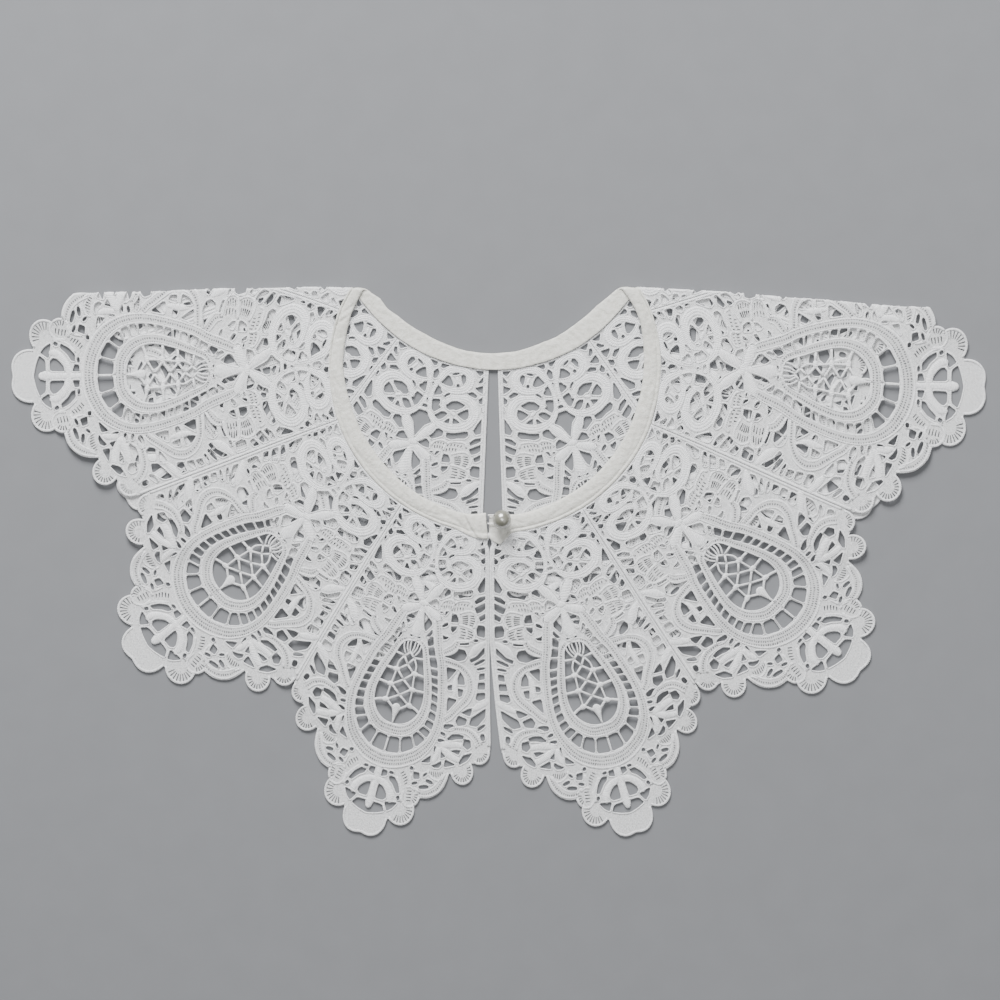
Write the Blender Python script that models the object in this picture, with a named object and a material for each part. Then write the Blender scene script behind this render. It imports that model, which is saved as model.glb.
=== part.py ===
"""Guipure lace collar, closed with a pearl button and laid flat with its front uppermost.

Two lace halves are sewn to one satin neck binding. Each half is a row of five petals, and it folds
along the shoulders, so its back petals lie under its front ones. Everything is drawn first on the
opened-out collar, a flat ring round the neck centre, and then folded and laid down.

Lengths below are in millimetres and angles in degrees; MM turns them into Blender's metres.
+X is the wearer's left, +Y runs from the front hem to the shoulders, +Z is up off the table.
"""

import math
from collections import namedtuple

import bmesh
import bpy
import numpy as np
from mathutils import Vector
from mathutils.geometry import delaunay_2d_cdt

MM = 0.001

# The opened-out ring. Radii are from the neck centre, angles from the centre front.
NECK_RADIUS = 79.7          # seam between the binding and the lace, in front
BACK_NECK_RADIUS = 77.3     # and at the back
SEAM_TURN_START = 60.0      # the angles between which it goes from one to the other
SEAM_TURN_END = 120.0
HEM_RADIUS = 182.0          # where a bar between two petals ends at the hem
TIP_RADIUS = 233.0          # tip of a petal
PETAL_DEG = 36.0            # a petal's share of the ring
PETALS = 5                  # petals in a half
SEAM_GAP = 0.3              # clearance between neighbouring pieces

# Thicknesses, and how the two layers lie.
LACE_THICKNESS = 1.0
BINDING_THICKNESS = 1.6
BACK_CENTRE = 75.8          # how far the back's neck centre lies above the front's
FOLD_FACETS = 3             # flat facets round the shoulder roll
COVER_MARGIN = 20.0         # the front stays up this far past the back's hem
DROP_LENGTH = 18.0          # and comes down to the table over this length
FOLD_MARGIN = 6.0           # it also stays up this near the fold
OVERLAP_TOP = 27.0          # above this height the binding lies over itself at the shoulders
OVERLAP_RAMP = 15.0         # length over which it climbs there

# The middle of the part's box, from the neck centre.
BOX_CENTRE_X = 1.75
BOX_CENTRE_Y = -93.3

# Bars between the petals: the angle at the neck, half way and at the hem.
Bar = namedtuple("Bar", "neck middle hem")
# Petals are hand-made and differ: how much further out each lies at the neck, beside its bar
# nearer the front, on its axis and beside its other bar, and how far it leans away from the front.
Petal = namedtuple("Petal", "neck near axis far lean")
# A half: its side, and its bars and petals from centre front to centre back.
Half = namedtuple("Half", "name side bars petals")
HALVES = (
    Half("lace_loop_side", -1,
         (Bar(1.98, 1.20, 0.65), Bar(34.0, 33.1, 32.4), Bar(71.0, 70.7, 70.5),
          Bar(110.0, 109.6, 109.2), Bar(143.2, 143.4, 143.6), Bar(177.7, 177.7, 177.7)),
         (Petal(0.0, 5.0, 0.5, 0.0, -1.6), Petal(-3.0, -2.0, -8.5, -2.5, -1.4),
          Petal(0.0, 2.5, -1.0, 6.0, -1.7), Petal(0.0, 3.0, -8.0, 0.0, 6.0),
          Petal(0.0, 0.0, 0.0, 0.0, 0.0))),
    Half("lace_button_side", 1,
         (Bar(-1.69, -1.03, 1.07), Bar(31.4, 31.9, 32.3), Bar(69.6, 69.5, 69.4),
          Bar(109.8, 109.6, 109.4), Bar(144.6, 144.8, 145.0), Bar(178.9, 178.6, 178.4)),
         (Petal(0.0, 6.5, 1.5, 2.2, 0.5), Petal(-3.0, 0.5, -4.0, 0.0, -2.6),
          Petal(0.0, 4.5, 2.5, 10.0, 2.3), Petal(0.0, 5.0, -5.0, 0.0, 0.0),
          Petal(0.0, 0.0, 0.0, 0.0, 0.0))),
)
SHIFT_START = 110.0         # the radii between which the neck's shift gives way to the hem's
SHIFT_END = 195.0
LEAN_START = 80.0           # the radii between which the lean comes in
LEAN_END = 130.0
MIDDLE_RADIUS = (NECK_RADIUS + HEM_RADIUS) / 2

# The shoulder line droops outwards on each side: where it starts, over what length, and how far.
Droop = namedtuple("Droop", "start reach drop")
DROOPS = {-1: Droop(64.0, 150.0, 2.6), 1: Droop(64.0, 155.0, 9.9)}
DROOP_FADE_LOW = -150.0     # no droop below this height
DROOP_FADE_HIGH = -20.0     # full droop above this one

# One petal, drawn on its axis: u across it and w out from the neck centre.
# Scalloped hem from a bar to the petal's tip, as circles whose outer arcs join.
Lobe = namedtuple("Lobe", "u w radius")
LOBES = (
    Lobe(50.5, 176.3, 5.8),
    Lobe(44.3, 186.5, 6.2),
    Lobe(30.2, 194.4, 8.2),
    Lobe(22.5, 208.0, 5.4),
    Lobe(19.0, 215.3, 7.4),
    Lobe(6.3, 224.2, 6.6),
)
TIP_LOBE = Lobe(0.0, 221.2, 11.8)
LOBE_STEP = 32.0            # degrees of arc between two points of the hem
NECK_STEPS = 8              # straight stretches along the neck edge of a petal
GRID_STEP = 12.0            # spacing of the points that let the cloth bend between its gaps
GRID_CLEARANCE = 3.0        # and how far they stay from its edges

# The largest gaps between the cords of a petal. A gap off the axis has its twin on the other side.
Gap = namedtuple("Gap", "name u w half_length half_width tilt corners")
GAPS = (
    Gap("diamond", 0.0, 108.2, 5.6, 4.8, 90, 6),
    Gap("ring_upper", 15.0, 95.8, 4.8, 2.0, -12, 5),
    Gap("ring_outer", 20.8, 99.6, 2.7, 2.3, 90, 5),
    Gap("below_ring", 20.6, 110.0, 6.2, 1.7, -20, 6),
    Gap("beside_petal", 9.8, 111.6, 3.0, 2.4, 60, 5),
    Gap("between_petals", 4.9, 127.0, 4.4, 2.0, 72, 5),
    Gap("under_fans", 24.2, 136.4, 5.0, 2.5, -32, 5),
    Gap("half_ring", 30.4, 162.4, 4.6, 2.1, 122, 5),
    Gap("beside_bar", 46.2, 162.4, 5.0, 2.7, 122, 6),
    Gap("net_side", 10.9, 163.6, 4.2, 2.5, 80, 6),
    Gap("net_low", 7.2, 173.9, 5.4, 2.6, -14, 6),
    Gap("ladder_first", 3.5, 189.0, 3.0, 2.6, 90, 4),
    Gap("ladder_second", 10.4, 187.1, 3.0, 2.6, 72, 4),
    Gap("ladder_third", 16.3, 182.6, 2.7, 2.4, 50, 4),
    Gap("medallion", 4.4, 210.4, 3.0, 2.5, 90, 5),
    Gap("medallion_low", 0.0, 218.9, 7.0, 1.9, 0, 6),
)

# Neck binding, an even strip from one centre-front end round the back to the other.
BINDING_WIDTH_FRONT = 7.2
BINDING_WIDTH_BACK = 7.9
BINDING_SHOULDER = 0.55     # height of its rounded edge, as a share of its thickness
BINDING_ROUND = 1.4         # how far the rounding reaches in
BINDING_STEP = 6.0          # degrees between its sections

# Pearl button on the +X end of the binding, and the thread loop from the other end round it.
PEARL_RADIUS = 4.5
PEARL_X, PEARL_Y = 3.3, -73.6
SHANK_RADIUS = 1.25
SHANK_HEIGHT = 0.9
PEARL_SEGMENTS = 24
PEARL_RINGS = 10
LOOP_RADIUS = 0.45          # of the thread
LOOP_START_X = -3.6
LOOP_TURN_STEPS = 9

Finish = namedtuple("Finish", "name colour roughness")
LACE_FINISH = Finish("white_lace", (0.84, 0.85, 0.87, 1.0), 0.85)
SATIN_FINISH = Finish("ivory_satin", (0.80, 0.80, 0.76, 1.0), 0.42)
PEARL_FINISH = Finish("pearl", (0.73, 0.71, 0.66, 1.0), 0.18)
THREAD_FINISH = Finish("white_thread", (0.86, 0.86, 0.85, 1.0), 0.7)


def smooth_step(value):
    """Rise from 0 to 1 as value does, level at both ends."""
    value = min(max(value, 0.0), 1.0)
    return value * value * (3.0 - 2.0 * value)


def clear_scene():
    """Remove every object of the open file."""
    for old in list(bpy.data.objects):
        bpy.data.objects.remove(old, do_unlink=True)


def make_material(finish):
    """One Principled material."""
    material = bpy.data.materials.new(finish.name)
    material.use_nodes = True
    shader = material.node_tree.nodes["Principled BSDF"]
    shader.inputs["Base Color"].default_value = finish.colour
    shader.inputs["Roughness"].default_value = finish.roughness
    shader.inputs["Metallic"].default_value = 0.0
    return material


# ---- from a petal to the opened-out ring ----

def bar_angle(bar, radius):
    """The angle of a bar at this radius."""
    if radius < MIDDLE_RADIUS:
        share = (radius - NECK_RADIUS) / (MIDDLE_RADIUS - NECK_RADIUS)
        return bar.neck + (bar.middle - bar.neck) * max(share, 0.0)
    share = (radius - MIDDLE_RADIUS) / (HEM_RADIUS - MIDDLE_RADIUS)
    return bar.middle + (bar.hem - bar.middle) * min(share, 1.0)


def between(start, end, across):
    """The value across a petal, which is start at -1 and end at 1."""
    return (start + end) / 2 + across * (end - start) / 2


def seam_radius(angle):
    """Radius of the neck seam at an angle from the centre front, either way round."""
    turned = min(abs(angle), 360.0 - abs(angle)) - SEAM_TURN_START
    share = smooth_step(turned / (SEAM_TURN_END - SEAM_TURN_START))
    return NECK_RADIUS + (BACK_NECK_RADIUS - NECK_RADIUS) * share


def at_angle(half, angle, radius):
    """The point of a half at an angle from the centre front."""
    turn = math.radians(angle)
    return half.side * math.sin(turn) * radius, -math.cos(turn) * radius


def on_ring(u, w, half, petal):
    """Place a petal's point on the opened-out ring."""
    radius = math.hypot(u, w)
    across = math.degrees(math.atan2(u, w)) / (PETAL_DEG / 2)
    bulge = math.cos(min(abs(across), 1.0) * math.pi / 2)
    start, end, shape = half.bars[petal], half.bars[petal + 1], half.petals[petal]
    lean = shape.lean * bulge * smooth_step((radius - LEAN_START) / (LEAN_END - LEAN_START))
    angle = between(bar_angle(start, radius), bar_angle(end, radius), across)
    angle += math.degrees(lean / radius)
    side = shape.far if across > 0.0 else shape.near
    shift = side + (shape.axis - side) * bulge ** 2
    share = smooth_step((radius - SHIFT_START) / (SHIFT_END - SHIFT_START))
    return at_angle(half, angle, radius + shape.neck + (shift - shape.neck) * share)


def on_neck_seam(across, half, petal):
    """The lace's edge along the binding, from -1 to 1 across a petal."""
    angle = between(half.bars[petal].neck, half.bars[petal + 1].neck, across)
    return at_angle(half, angle, seam_radius(angle) + SEAM_GAP)


# ---- from the opened-out ring to the folded collar ----

def back_cover(x, y):
    """1 where the back lies under the front, falling to 0 where the front reaches the table."""
    angle = math.degrees(math.atan2(abs(x), BACK_CENTRE - y))
    in_petal = (angle % PETAL_DEG) / PETAL_DEG
    middle = (TIP_RADIUS + HEM_RADIUS) / 2
    swing = (TIP_RADIUS - HEM_RADIUS) / 2
    hem = middle + swing * math.cos(2 * math.pi * (in_petal - 0.5)) + COVER_MARGIN
    past_hem = math.hypot(x, BACK_CENTRE - y) - hem
    return 1.0 - smooth_step(past_hem / DROP_LENGTH)


def front_height(x, y, thickness):
    """Underside of the front layer above the table."""
    full = LACE_THICKNESS + SEAM_GAP
    crease = crease_height(thickness)
    near_fold = 1.0 - smooth_step((crease - y - FOLD_MARGIN) / DROP_LENGTH)
    extra = (thickness - LACE_THICKNESS) * smooth_step((y - OVERLAP_TOP) / OVERLAP_RAMP + 1.0)
    return full * max(back_cover(x, y), near_fold) + extra


def roll_radius(thickness):
    """Radius of a layer's middle round the shoulder fold."""
    return SEAM_GAP / 2 + thickness / 2


def crease_height(thickness):
    """How far above the neck centre the roll starts, so that the back's centre comes out right."""
    return (BACK_CENTRE - math.pi * roll_radius(thickness)) / 2


def fold_point(x, v, rise, thickness):
    """Fold a point of the opened-out ring that stands rise above the cloth's inner side."""
    crease = crease_height(thickness)
    turn = (v - crease) / roll_radius(thickness)
    if turn <= 0.0:
        return Vector((x, v, front_height(x, v, thickness) + rise))
    if turn < math.pi:
        radius = SEAM_GAP / 2 + rise
        centre = thickness + SEAM_GAP / 2
        return Vector((x, crease + radius * math.sin(turn), centre + radius * math.cos(turn)))
    return Vector((x, BACK_CENTRE - v, thickness - rise))


def droop(point):
    """Let the shoulder line slope down outwards."""
    row = DROOPS[1 if point.x > 0 else -1]
    out = smooth_step((abs(point.x) - row.start) / row.reach)
    fade = smooth_step((point.y - DROOP_FADE_LOW) / (DROOP_FADE_HIGH - DROOP_FADE_LOW))
    return Vector((point.x, point.y - row.drop * out * fade, point.z))


def to_part(point):
    """Move a point in millimetres from the neck centre to the part's frame, in metres."""
    return Vector((point.x - BOX_CENTRE_X, point.y - BOX_CENTRE_Y, point.z)) * MM


def lay_down(shape, thickness):
    """Fold a flat solid of the opened-out ring along the shoulders and lay it on the table."""
    crease = crease_height(thickness)
    for step in range(FOLD_FACETS + 1):
        height = crease + math.pi * roll_radius(thickness) * step / FOLD_FACETS
        parts = shape.verts[:] + shape.edges[:] + shape.faces[:]
        bmesh.ops.bisect_plane(shape, geom=parts, dist=0.01,
                               plane_co=(0.0, height, 0.0), plane_no=(0.0, 1.0, 0.0))
    bmesh.ops.triangulate(shape, faces=shape.faces[:])
    for vertex in shape.verts:
        folded = fold_point(vertex.co.x, vertex.co.y, vertex.co.z, thickness)
        vertex.co = to_part(droop(folded))


def add_object(name, shape, material, parent, smooth=False):
    """Turn a bmesh into a named object of the part."""
    mesh = bpy.data.meshes.new(name)
    shape.to_mesh(mesh)
    shape.free()
    if smooth:
        mesh.shade_smooth()
    item = bpy.data.objects.new(name, mesh)
    mesh.materials.append(material)
    item.parent = parent
    bpy.context.scene.collection.objects.link(item)
    return item


# ---- lace ----

def circle_meeting(first, second):
    """The meeting point of two lobes' circles that lies further out from the petal."""
    across = Vector((second.u - first.u, second.w - first.w))
    distance = across.length
    along = (distance ** 2 + first.radius ** 2 - second.radius ** 2) / (2 * distance)
    aside = math.sqrt(max(first.radius ** 2 - along ** 2, 0.0))
    unit = across / distance
    middle = Vector((first.u, first.w)) + unit * along
    normal = Vector((unit.y, -unit.x))
    ends = (middle + normal * aside, middle - normal * aside)
    return max(ends, key=lambda end: end.x + 2 * end.y)


def lobe_arc(lobe, start, end):
    """Points on a lobe's circle from start towards end, without the end itself."""
    first = math.atan2(start.y - lobe.w, start.x - lobe.u)
    last = math.atan2(end.y - lobe.w, end.x - lobe.u)
    while last < first:
        last += 2 * math.pi
    steps = max(1, round(math.degrees(last - first) / LOBE_STEP))
    turns = [first + (last - first) * step / steps for step in range(steps)]
    return [(lobe.u + lobe.radius * math.cos(turn), lobe.w + lobe.radius * math.sin(turn))
            for turn in turns]


def hem_outline():
    """The scalloped hem of one petal, from its far bar round the tip to its near bar."""
    lobes = LOBES + (TIP_LOBE,)
    half_turn = math.radians(PETAL_DEG / 2)
    bar_end = Vector((math.sin(half_turn), math.cos(half_turn))) * HEM_RADIUS
    first = lobes[0]
    toward = (bar_end - Vector((first.u, first.w))).normalized()
    joints = [Vector((first.u, first.w)) + toward * first.radius]
    joints += [circle_meeting(here, there) for here, there in zip(lobes, lobes[1:])]
    tip = Vector((TIP_LOBE.u, TIP_LOBE.w + TIP_LOBE.radius))
    joints.append(tip)
    points = [tuple(bar_end)]
    for lobe, start, end in zip(lobes, joints, joints[1:]):
        points += lobe_arc(lobe, start, end)
    points.append(tuple(tip))
    return points + [(-u, w) for u, w in reversed(points[1:-1])]


def half_outline(half):
    """Outline of a whole half on the opened-out ring."""
    turn = math.radians(PETAL_DEG / 2)
    middle = (MIDDLE_RADIUS * math.sin(turn), MIDDLE_RADIUS * math.cos(turn))
    outline = []
    for petal in range(PETALS):
        for step in range(NECK_STEPS):
            outline.append(on_neck_seam(2 * step / NECK_STEPS - 1, half, petal))
    outline.append(on_neck_seam(1, half, PETALS - 1))
    outline.append(on_ring(*middle, half, PETALS - 1))
    for petal in reversed(range(PETALS)):
        outline += [on_ring(*point, half, petal) for point in hem_outline()]
    outline.append(on_ring(-HEM_RADIUS * math.sin(turn), HEM_RADIUS * math.cos(turn), half, 0))
    outline.append(on_ring(-middle[0], middle[1], half, 0))
    return outline


def gap_outline(gap, twin):
    """Corners of a gap in its petal; twin is -1 for the one across the axis."""
    reach = 1.0 / math.cos(math.pi / gap.corners) if gap.corners == 4 else 1.0
    tilt = math.radians(gap.tilt)
    points = []
    for corner in range(gap.corners):
        turn = 2 * math.pi * (corner + 0.5) / gap.corners
        along = gap.half_length * reach * math.cos(turn)
        aside = gap.half_width * reach * math.sin(turn)
        u = gap.u + along * math.cos(tilt) - aside * math.sin(tilt)
        w = gap.w + along * math.sin(tilt) + aside * math.cos(tilt)
        points.append((twin * u, w))
    return points


def petal_gaps():
    """Every gap of a petal, with the twins."""
    outlines = []
    for gap in GAPS:
        twins = (1,) if gap.u == 0.0 else (1, -1)
        outlines += [gap_outline(gap, twin) for twin in twins]
    return outlines


def grid_points(loops):
    """Points spread over a half, clear of every edge."""
    starts = np.array([point for loop in loops for point in loop])
    ends = np.array([point for loop in loops for point in loop[1:] + loop[:1]])
    low, high = starts.min(axis=0), starts.max(axis=0)
    across, up = np.meshgrid(np.arange(low[0], high[0], GRID_STEP),
                             np.arange(low[1], high[1], GRID_STEP))
    grid = np.stack((across.ravel(), up.ravel()), axis=1)
    edges = ends - starts
    along = ((grid[:, None] - starts) * edges).sum(axis=2) / (edges ** 2).sum(axis=1)
    nearest = starts + np.clip(along, 0.0, 1.0)[:, :, None] * edges
    distance = np.linalg.norm(grid[:, None] - nearest, axis=2).min(axis=1)
    return [tuple(point) for point in grid[distance > GRID_CLEARANCE].tolist()]


def turned_left(loop):
    """The same loop, running anticlockwise."""
    doubled = sum(a[0] * b[1] - b[0] * a[1] for a, b in zip(loop, loop[1:] + loop[:1]))
    return loop if doubled > 0 else loop[::-1]


def lace_half(half, material, parent):
    """One half of the lace, cut through at its largest gaps."""
    loops = [half_outline(half)]
    for petal in range(PETALS):
        loops += [[on_ring(*point, half, petal) for point in gap] for gap in petal_gaps()]
    loops = [turned_left(loop) for loop in loops]
    points = [Vector(point) for loop in loops for point in loop]
    points += [Vector(point) for point in grid_points(loops)]
    faces, first = [], 0
    for loop in loops:
        faces.append(list(range(first, first + len(loop))))
        first += len(loop)
    flat, _, triangles, _, _, owners = delaunay_2d_cdt(points, [], faces, 1, 1e-5, True)
    cloth = [tri for tri, owner in zip(triangles, owners) if list(owner) == [0]]

    shape = bmesh.new()
    used = sorted({corner for tri in cloth for corner in tri})
    under = {i: shape.verts.new((flat[i].x, flat[i].y, 0.0)) for i in used}
    over = {i: shape.verts.new((flat[i].x, flat[i].y, LACE_THICKNESS)) for i in used}
    sides = set()
    for tri in cloth:
        shape.faces.new([over[i] for i in tri])
        shape.faces.new([under[i] for i in reversed(tri)])
        sides.update((tri[n], tri[(n + 1) % 3]) for n in range(3))
    for start, end in sorted(sides):
        if (end, start) not in sides:
            shape.faces.new((under[start], under[end], over[end], over[start]))
    lay_down(shape, LACE_THICKNESS)
    return add_object(half.name, shape, material, parent)


# ---- binding ----

def binding_section(angle):
    """Points across the binding at an angle from the centre front, outer edge first."""
    edge = seam_radius(angle)
    back_share = (NECK_RADIUS - edge) / (NECK_RADIUS - BACK_NECK_RADIUS)
    width = BINDING_WIDTH_FRONT + (BINDING_WIDTH_BACK - BINDING_WIDTH_FRONT) * back_share
    shoulder = BINDING_SHOULDER * BINDING_THICKNESS
    profile = ((0.0, 0.0), (width, 0.0), (width, shoulder),
               (width - BINDING_ROUND, BINDING_THICKNESS), (BINDING_ROUND, BINDING_THICKNESS),
               (0.0, shoulder))
    turn = math.radians(angle)
    return [(math.sin(turn) * (edge - inset), -math.cos(turn) * (edge - inset), rise)
            for inset, rise in profile]


def neck_binding(material, parent):
    """The satin strip round the neck, in one piece."""
    loop_side, button_side = HALVES
    start, end = button_side.bars[0].neck, 360.0 - loop_side.bars[0].neck
    steps = round((end - start) / BINDING_STEP)
    shape = bmesh.new()
    rings = []
    for step in range(steps + 1):
        section = binding_section(start + (end - start) * step / steps)
        rings.append([shape.verts.new(point) for point in section])
    count = len(rings[0])
    for here, there in zip(rings, rings[1:]):
        for n in range(count):
            after = (n + 1) % count
            shape.faces.new((here[n], there[n], there[after], here[after]))
    shape.faces.new(rings[0])
    shape.faces.new(list(reversed(rings[-1])))
    bmesh.ops.recalc_face_normals(shape, faces=shape.faces[:])
    lay_down(shape, BINDING_THICKNESS)
    return add_object("neck_binding", shape, material, parent)


# ---- button and loop ----

def band_top():
    """Top of the front binding at the button, above the table."""
    return LACE_THICKNESS + SEAM_GAP + BINDING_THICKNESS


def pearl_button(material, parent):
    """A ball with a short shank, standing on the binding."""
    foot = band_top() + SEAM_GAP
    meeting = math.asin(SHANK_RADIUS / PEARL_RADIUS)
    centre = foot + SHANK_HEIGHT + PEARL_RADIUS * math.cos(meeting)
    profile = [(SHANK_RADIUS, foot)]
    for ring in range(PEARL_RINGS):
        turn = meeting + (math.pi - meeting) * ring / PEARL_RINGS
        profile.append((PEARL_RADIUS * math.sin(turn), centre - PEARL_RADIUS * math.cos(turn)))
    shape = bmesh.new()
    rings = []
    for radius, height in profile:
        turns = [2 * math.pi * n / PEARL_SEGMENTS for n in range(PEARL_SEGMENTS)]
        rings.append([shape.verts.new((PEARL_X + radius * math.cos(turn),
                                       PEARL_Y + radius * math.sin(turn), height))
                      for turn in turns])
    for low, high in zip(rings, rings[1:]):
        for n in range(PEARL_SEGMENTS):
            after = (n + 1) % PEARL_SEGMENTS
            shape.faces.new((low[n], low[after], high[after], high[n]))
    shape.faces.new(list(reversed(rings[0])))
    top = shape.verts.new((PEARL_X, PEARL_Y, centre + PEARL_RADIUS))
    for n in range(PEARL_SEGMENTS):
        shape.faces.new((rings[-1][n], rings[-1][(n + 1) % PEARL_SEGMENTS], top))
    for vertex in shape.verts:
        vertex.co = to_part(vertex.co)
    return add_object("pearl_button", shape, material, parent, smooth=True)


def button_loop(material, parent):
    """The thread that runs from the -X end of the binding round the shank and back."""
    height = band_top() + SEAM_GAP + LOOP_RADIUS
    reach = SHANK_RADIUS + SEAM_GAP + LOOP_RADIUS
    route = [(LOOP_START_X, PEARL_Y - reach)]
    for step in range(LOOP_TURN_STEPS):
        turn = -math.pi / 2 + math.pi * step / (LOOP_TURN_STEPS - 1)
        route.append((PEARL_X + reach * math.cos(turn), PEARL_Y + reach * math.sin(turn)))
    route.append((LOOP_START_X, PEARL_Y + reach))
    curve = bpy.data.curves.new("button_loop", "CURVE")
    curve.dimensions = "3D"
    curve.bevel_depth = LOOP_RADIUS * MM
    curve.bevel_resolution = 2
    curve.use_fill_caps = True
    spline = curve.splines.new("POLY")
    spline.points.add(len(route) - 1)
    for point, (x, y) in zip(spline.points, route):
        point.co = (*to_part(Vector((x, y, height))), 1.0)
    item = bpy.data.objects.new("button_loop", curve)
    curve.materials.append(material)
    item.parent = parent
    bpy.context.scene.collection.objects.link(item)
    return item


def build():
    """Make the whole collar."""
    clear_scene()
    collar = bpy.data.objects.new("lace_collar", None)
    bpy.context.scene.collection.objects.link(collar)
    lace = make_material(LACE_FINISH)
    for half in HALVES:
        lace_half(half, lace, collar)
    neck_binding(make_material(SATIN_FINISH), collar)
    pearl_button(make_material(PEARL_FINISH), collar)
    button_loop(make_material(THREAD_FINISH), collar)


build()
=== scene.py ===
"""Looks of the lace collar: guipure petals made of tapes, cords and satin-stitched leaves.

One petal is drawn flat, in millimetres: u across it and w out from the neck centre. The drawing is
then laid on each petal of the opened-out collar, folded along the shoulders and put on the table,
with the same rules as the CAD part.
"""

import math
from collections import namedtuple

import bmesh
import bpy
import numpy as np
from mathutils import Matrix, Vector
from mathutils.geometry import delaunay_2d_cdt


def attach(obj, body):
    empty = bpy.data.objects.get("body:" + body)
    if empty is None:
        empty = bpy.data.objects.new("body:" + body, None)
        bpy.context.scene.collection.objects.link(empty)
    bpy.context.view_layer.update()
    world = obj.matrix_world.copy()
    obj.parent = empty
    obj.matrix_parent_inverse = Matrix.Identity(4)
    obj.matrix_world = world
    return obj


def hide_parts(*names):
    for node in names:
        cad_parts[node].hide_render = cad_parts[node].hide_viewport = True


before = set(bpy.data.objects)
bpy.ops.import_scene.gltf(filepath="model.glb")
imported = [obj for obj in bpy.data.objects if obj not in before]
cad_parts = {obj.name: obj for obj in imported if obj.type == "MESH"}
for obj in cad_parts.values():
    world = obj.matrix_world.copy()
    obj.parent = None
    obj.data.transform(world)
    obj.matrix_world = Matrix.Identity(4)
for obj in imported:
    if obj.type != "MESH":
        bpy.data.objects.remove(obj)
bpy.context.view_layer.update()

MM = 0.001


def table(kind, *rows):
    """A short table, whose rows are tuples with named columns."""
    return tuple(kind(*row) for row in rows)


# The opened-out ring, as in the CAD part.
NECK_RADIUS = 79.7
BACK_NECK_RADIUS = 77.3
SEAM_TURN_START = 60.0
SEAM_TURN_END = 120.0
HEM_RADIUS = 182.0
TIP_RADIUS = 233.0
MIDDLE_RADIUS = (NECK_RADIUS + HEM_RADIUS) / 2
PETAL_DEG = 36.0
HALF_TURN = math.radians(PETAL_DEG / 2)
PETALS = 5
SEAM_GAP = 0.3
LACE_THICKNESS = 1.0
BINDING_THICKNESS = 1.6
BACK_CENTRE = 75.8
COVER_MARGIN = 20.0
DROP_LENGTH = 18.0
FOLD_MARGIN = 6.0
OVERLAP_TOP = 27.0
OVERLAP_RAMP = 15.0
BOX_CENTRE_X = 1.75
BOX_CENTRE_Y = -93.3
SHIFT_START = 110.0
SHIFT_END = 195.0
LEAN_START = 80.0
LEAN_END = 130.0
DROOP_FADE_LOW = -150.0
DROOP_FADE_HIGH = -20.0
NECK_FIT = 25.0             # length over which the lace is drawn in to the back's smaller neck
FOLD_FACETS = 6
CUT_SNAP = 0.004            # a fold's cut passes through a point that is as near as this
WAVE_HEIGHT = 0.45           # how far the shoulders' folded edge wanders
WAVE_FADE = 45.0

# The binding, the pearl and the loop, from the CAD part, and their finer sections.
BINDING_FRONT = 7.2
BINDING_BACK = 7.9
BINDING_STEP = 0.5
BINDING_PUCKER = 0.3
BINDING_LAP = 0.5           # how far it reaches over the lace
BINDING_WANDER = 0.12       # how far its edges wander
# Its section from the lace's side to the neck's: a rolled welt, a crease, and the flat ribbon.
Section = namedtuple("Section", "across rise")
BINDING_SECTION = table(Section,
    (0, 0.62), (0.02, 1), (0.06, 1.24), (0.11, 1.32), (0.155, 1.22), (0.19, 0.98), (0.225, 1.18),
    (0.29, 1.4), (0.36, 1.48), (0.44, 1.54), (0.52, 1.57), (0.6, 1.57), (0.68, 1.54), (0.76, 1.47),
    (0.84, 1.36), (0.91, 1.2), (0.965, 0.96), (1, 0.62), (1, 0.12), (0.98, 0), (0.8, 0), (0.65, 0),
    (0.5, 0), (0.38, 0), (0.28, 0), (0.18, 0), (0.09, 0), (0.02, 0), (0, 0.12),
)
# How far both its edges lie outside their usual line: degrees round the neck, and millimetres.
Flare = namedtuple("Flare", "angle lace_side neck_side")
FLARES = table(Flare,
    (-1.7, 2.4, 1.2), (0, 4.2, 1.3), (1.6, 5.4, 1.2), (3.3, 3.4, 1), (5.4, 0.4, 0.9), (8, 0, 0.6),
    (15, 0, 1), (28, -0.2, 1.3), (45, -0.3, 1.6), (65, -0.3, 1.6), (75, -0.3, 1.3), (82, 0, 0.4),
    (90, 0.4, -0.4), (100, 1.2, -1.8), (107, 1.5, -3), (112, 1.5, -3), (118, 0.9, -2.2), (122, 0.2, -1.6),
    (126, -0.3, -0.1), (134, -0.3, 1.7), (147, -0.3, 1.5), (155, -0.3, 0.8), (160, -0.3, 1),
    (165, -0.3, 0.4), (172, -0.2, -0.3), (192, -0.3, -0.4), (208, -0.3, 0.3), (222, -0.3, -0.1),
    (227, -0.3, -1), (232, -0.3, -0.6), (236, 0, -2.4), (240, 0.8, -3.7), (250, 1.6, -3.6),
    (260, 1.2, -2.7), (270, 0.6, -1.9), (280, 0, -0.3), (290, -0.2, 1), (305, -0.3, 1.6),
    (320, -0.3, 1.3), (330, -0.1, 0.8), (345.5, 0, 0.3), (348.5, 0.7, 0.3), (351.6, 2.1, 0.7),
    (354, 2.8, 1.3), (356.7, 3, 1.8), (358.1, 2.9, 1.9),
)
FLAP_RISE, FLAP_STEP, FLAP_THICKNESS = 1.12, 0.9, 0.35  # where it lies over the lace
DEEPEST_CREASE = 0.65       # of the thickness
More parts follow.
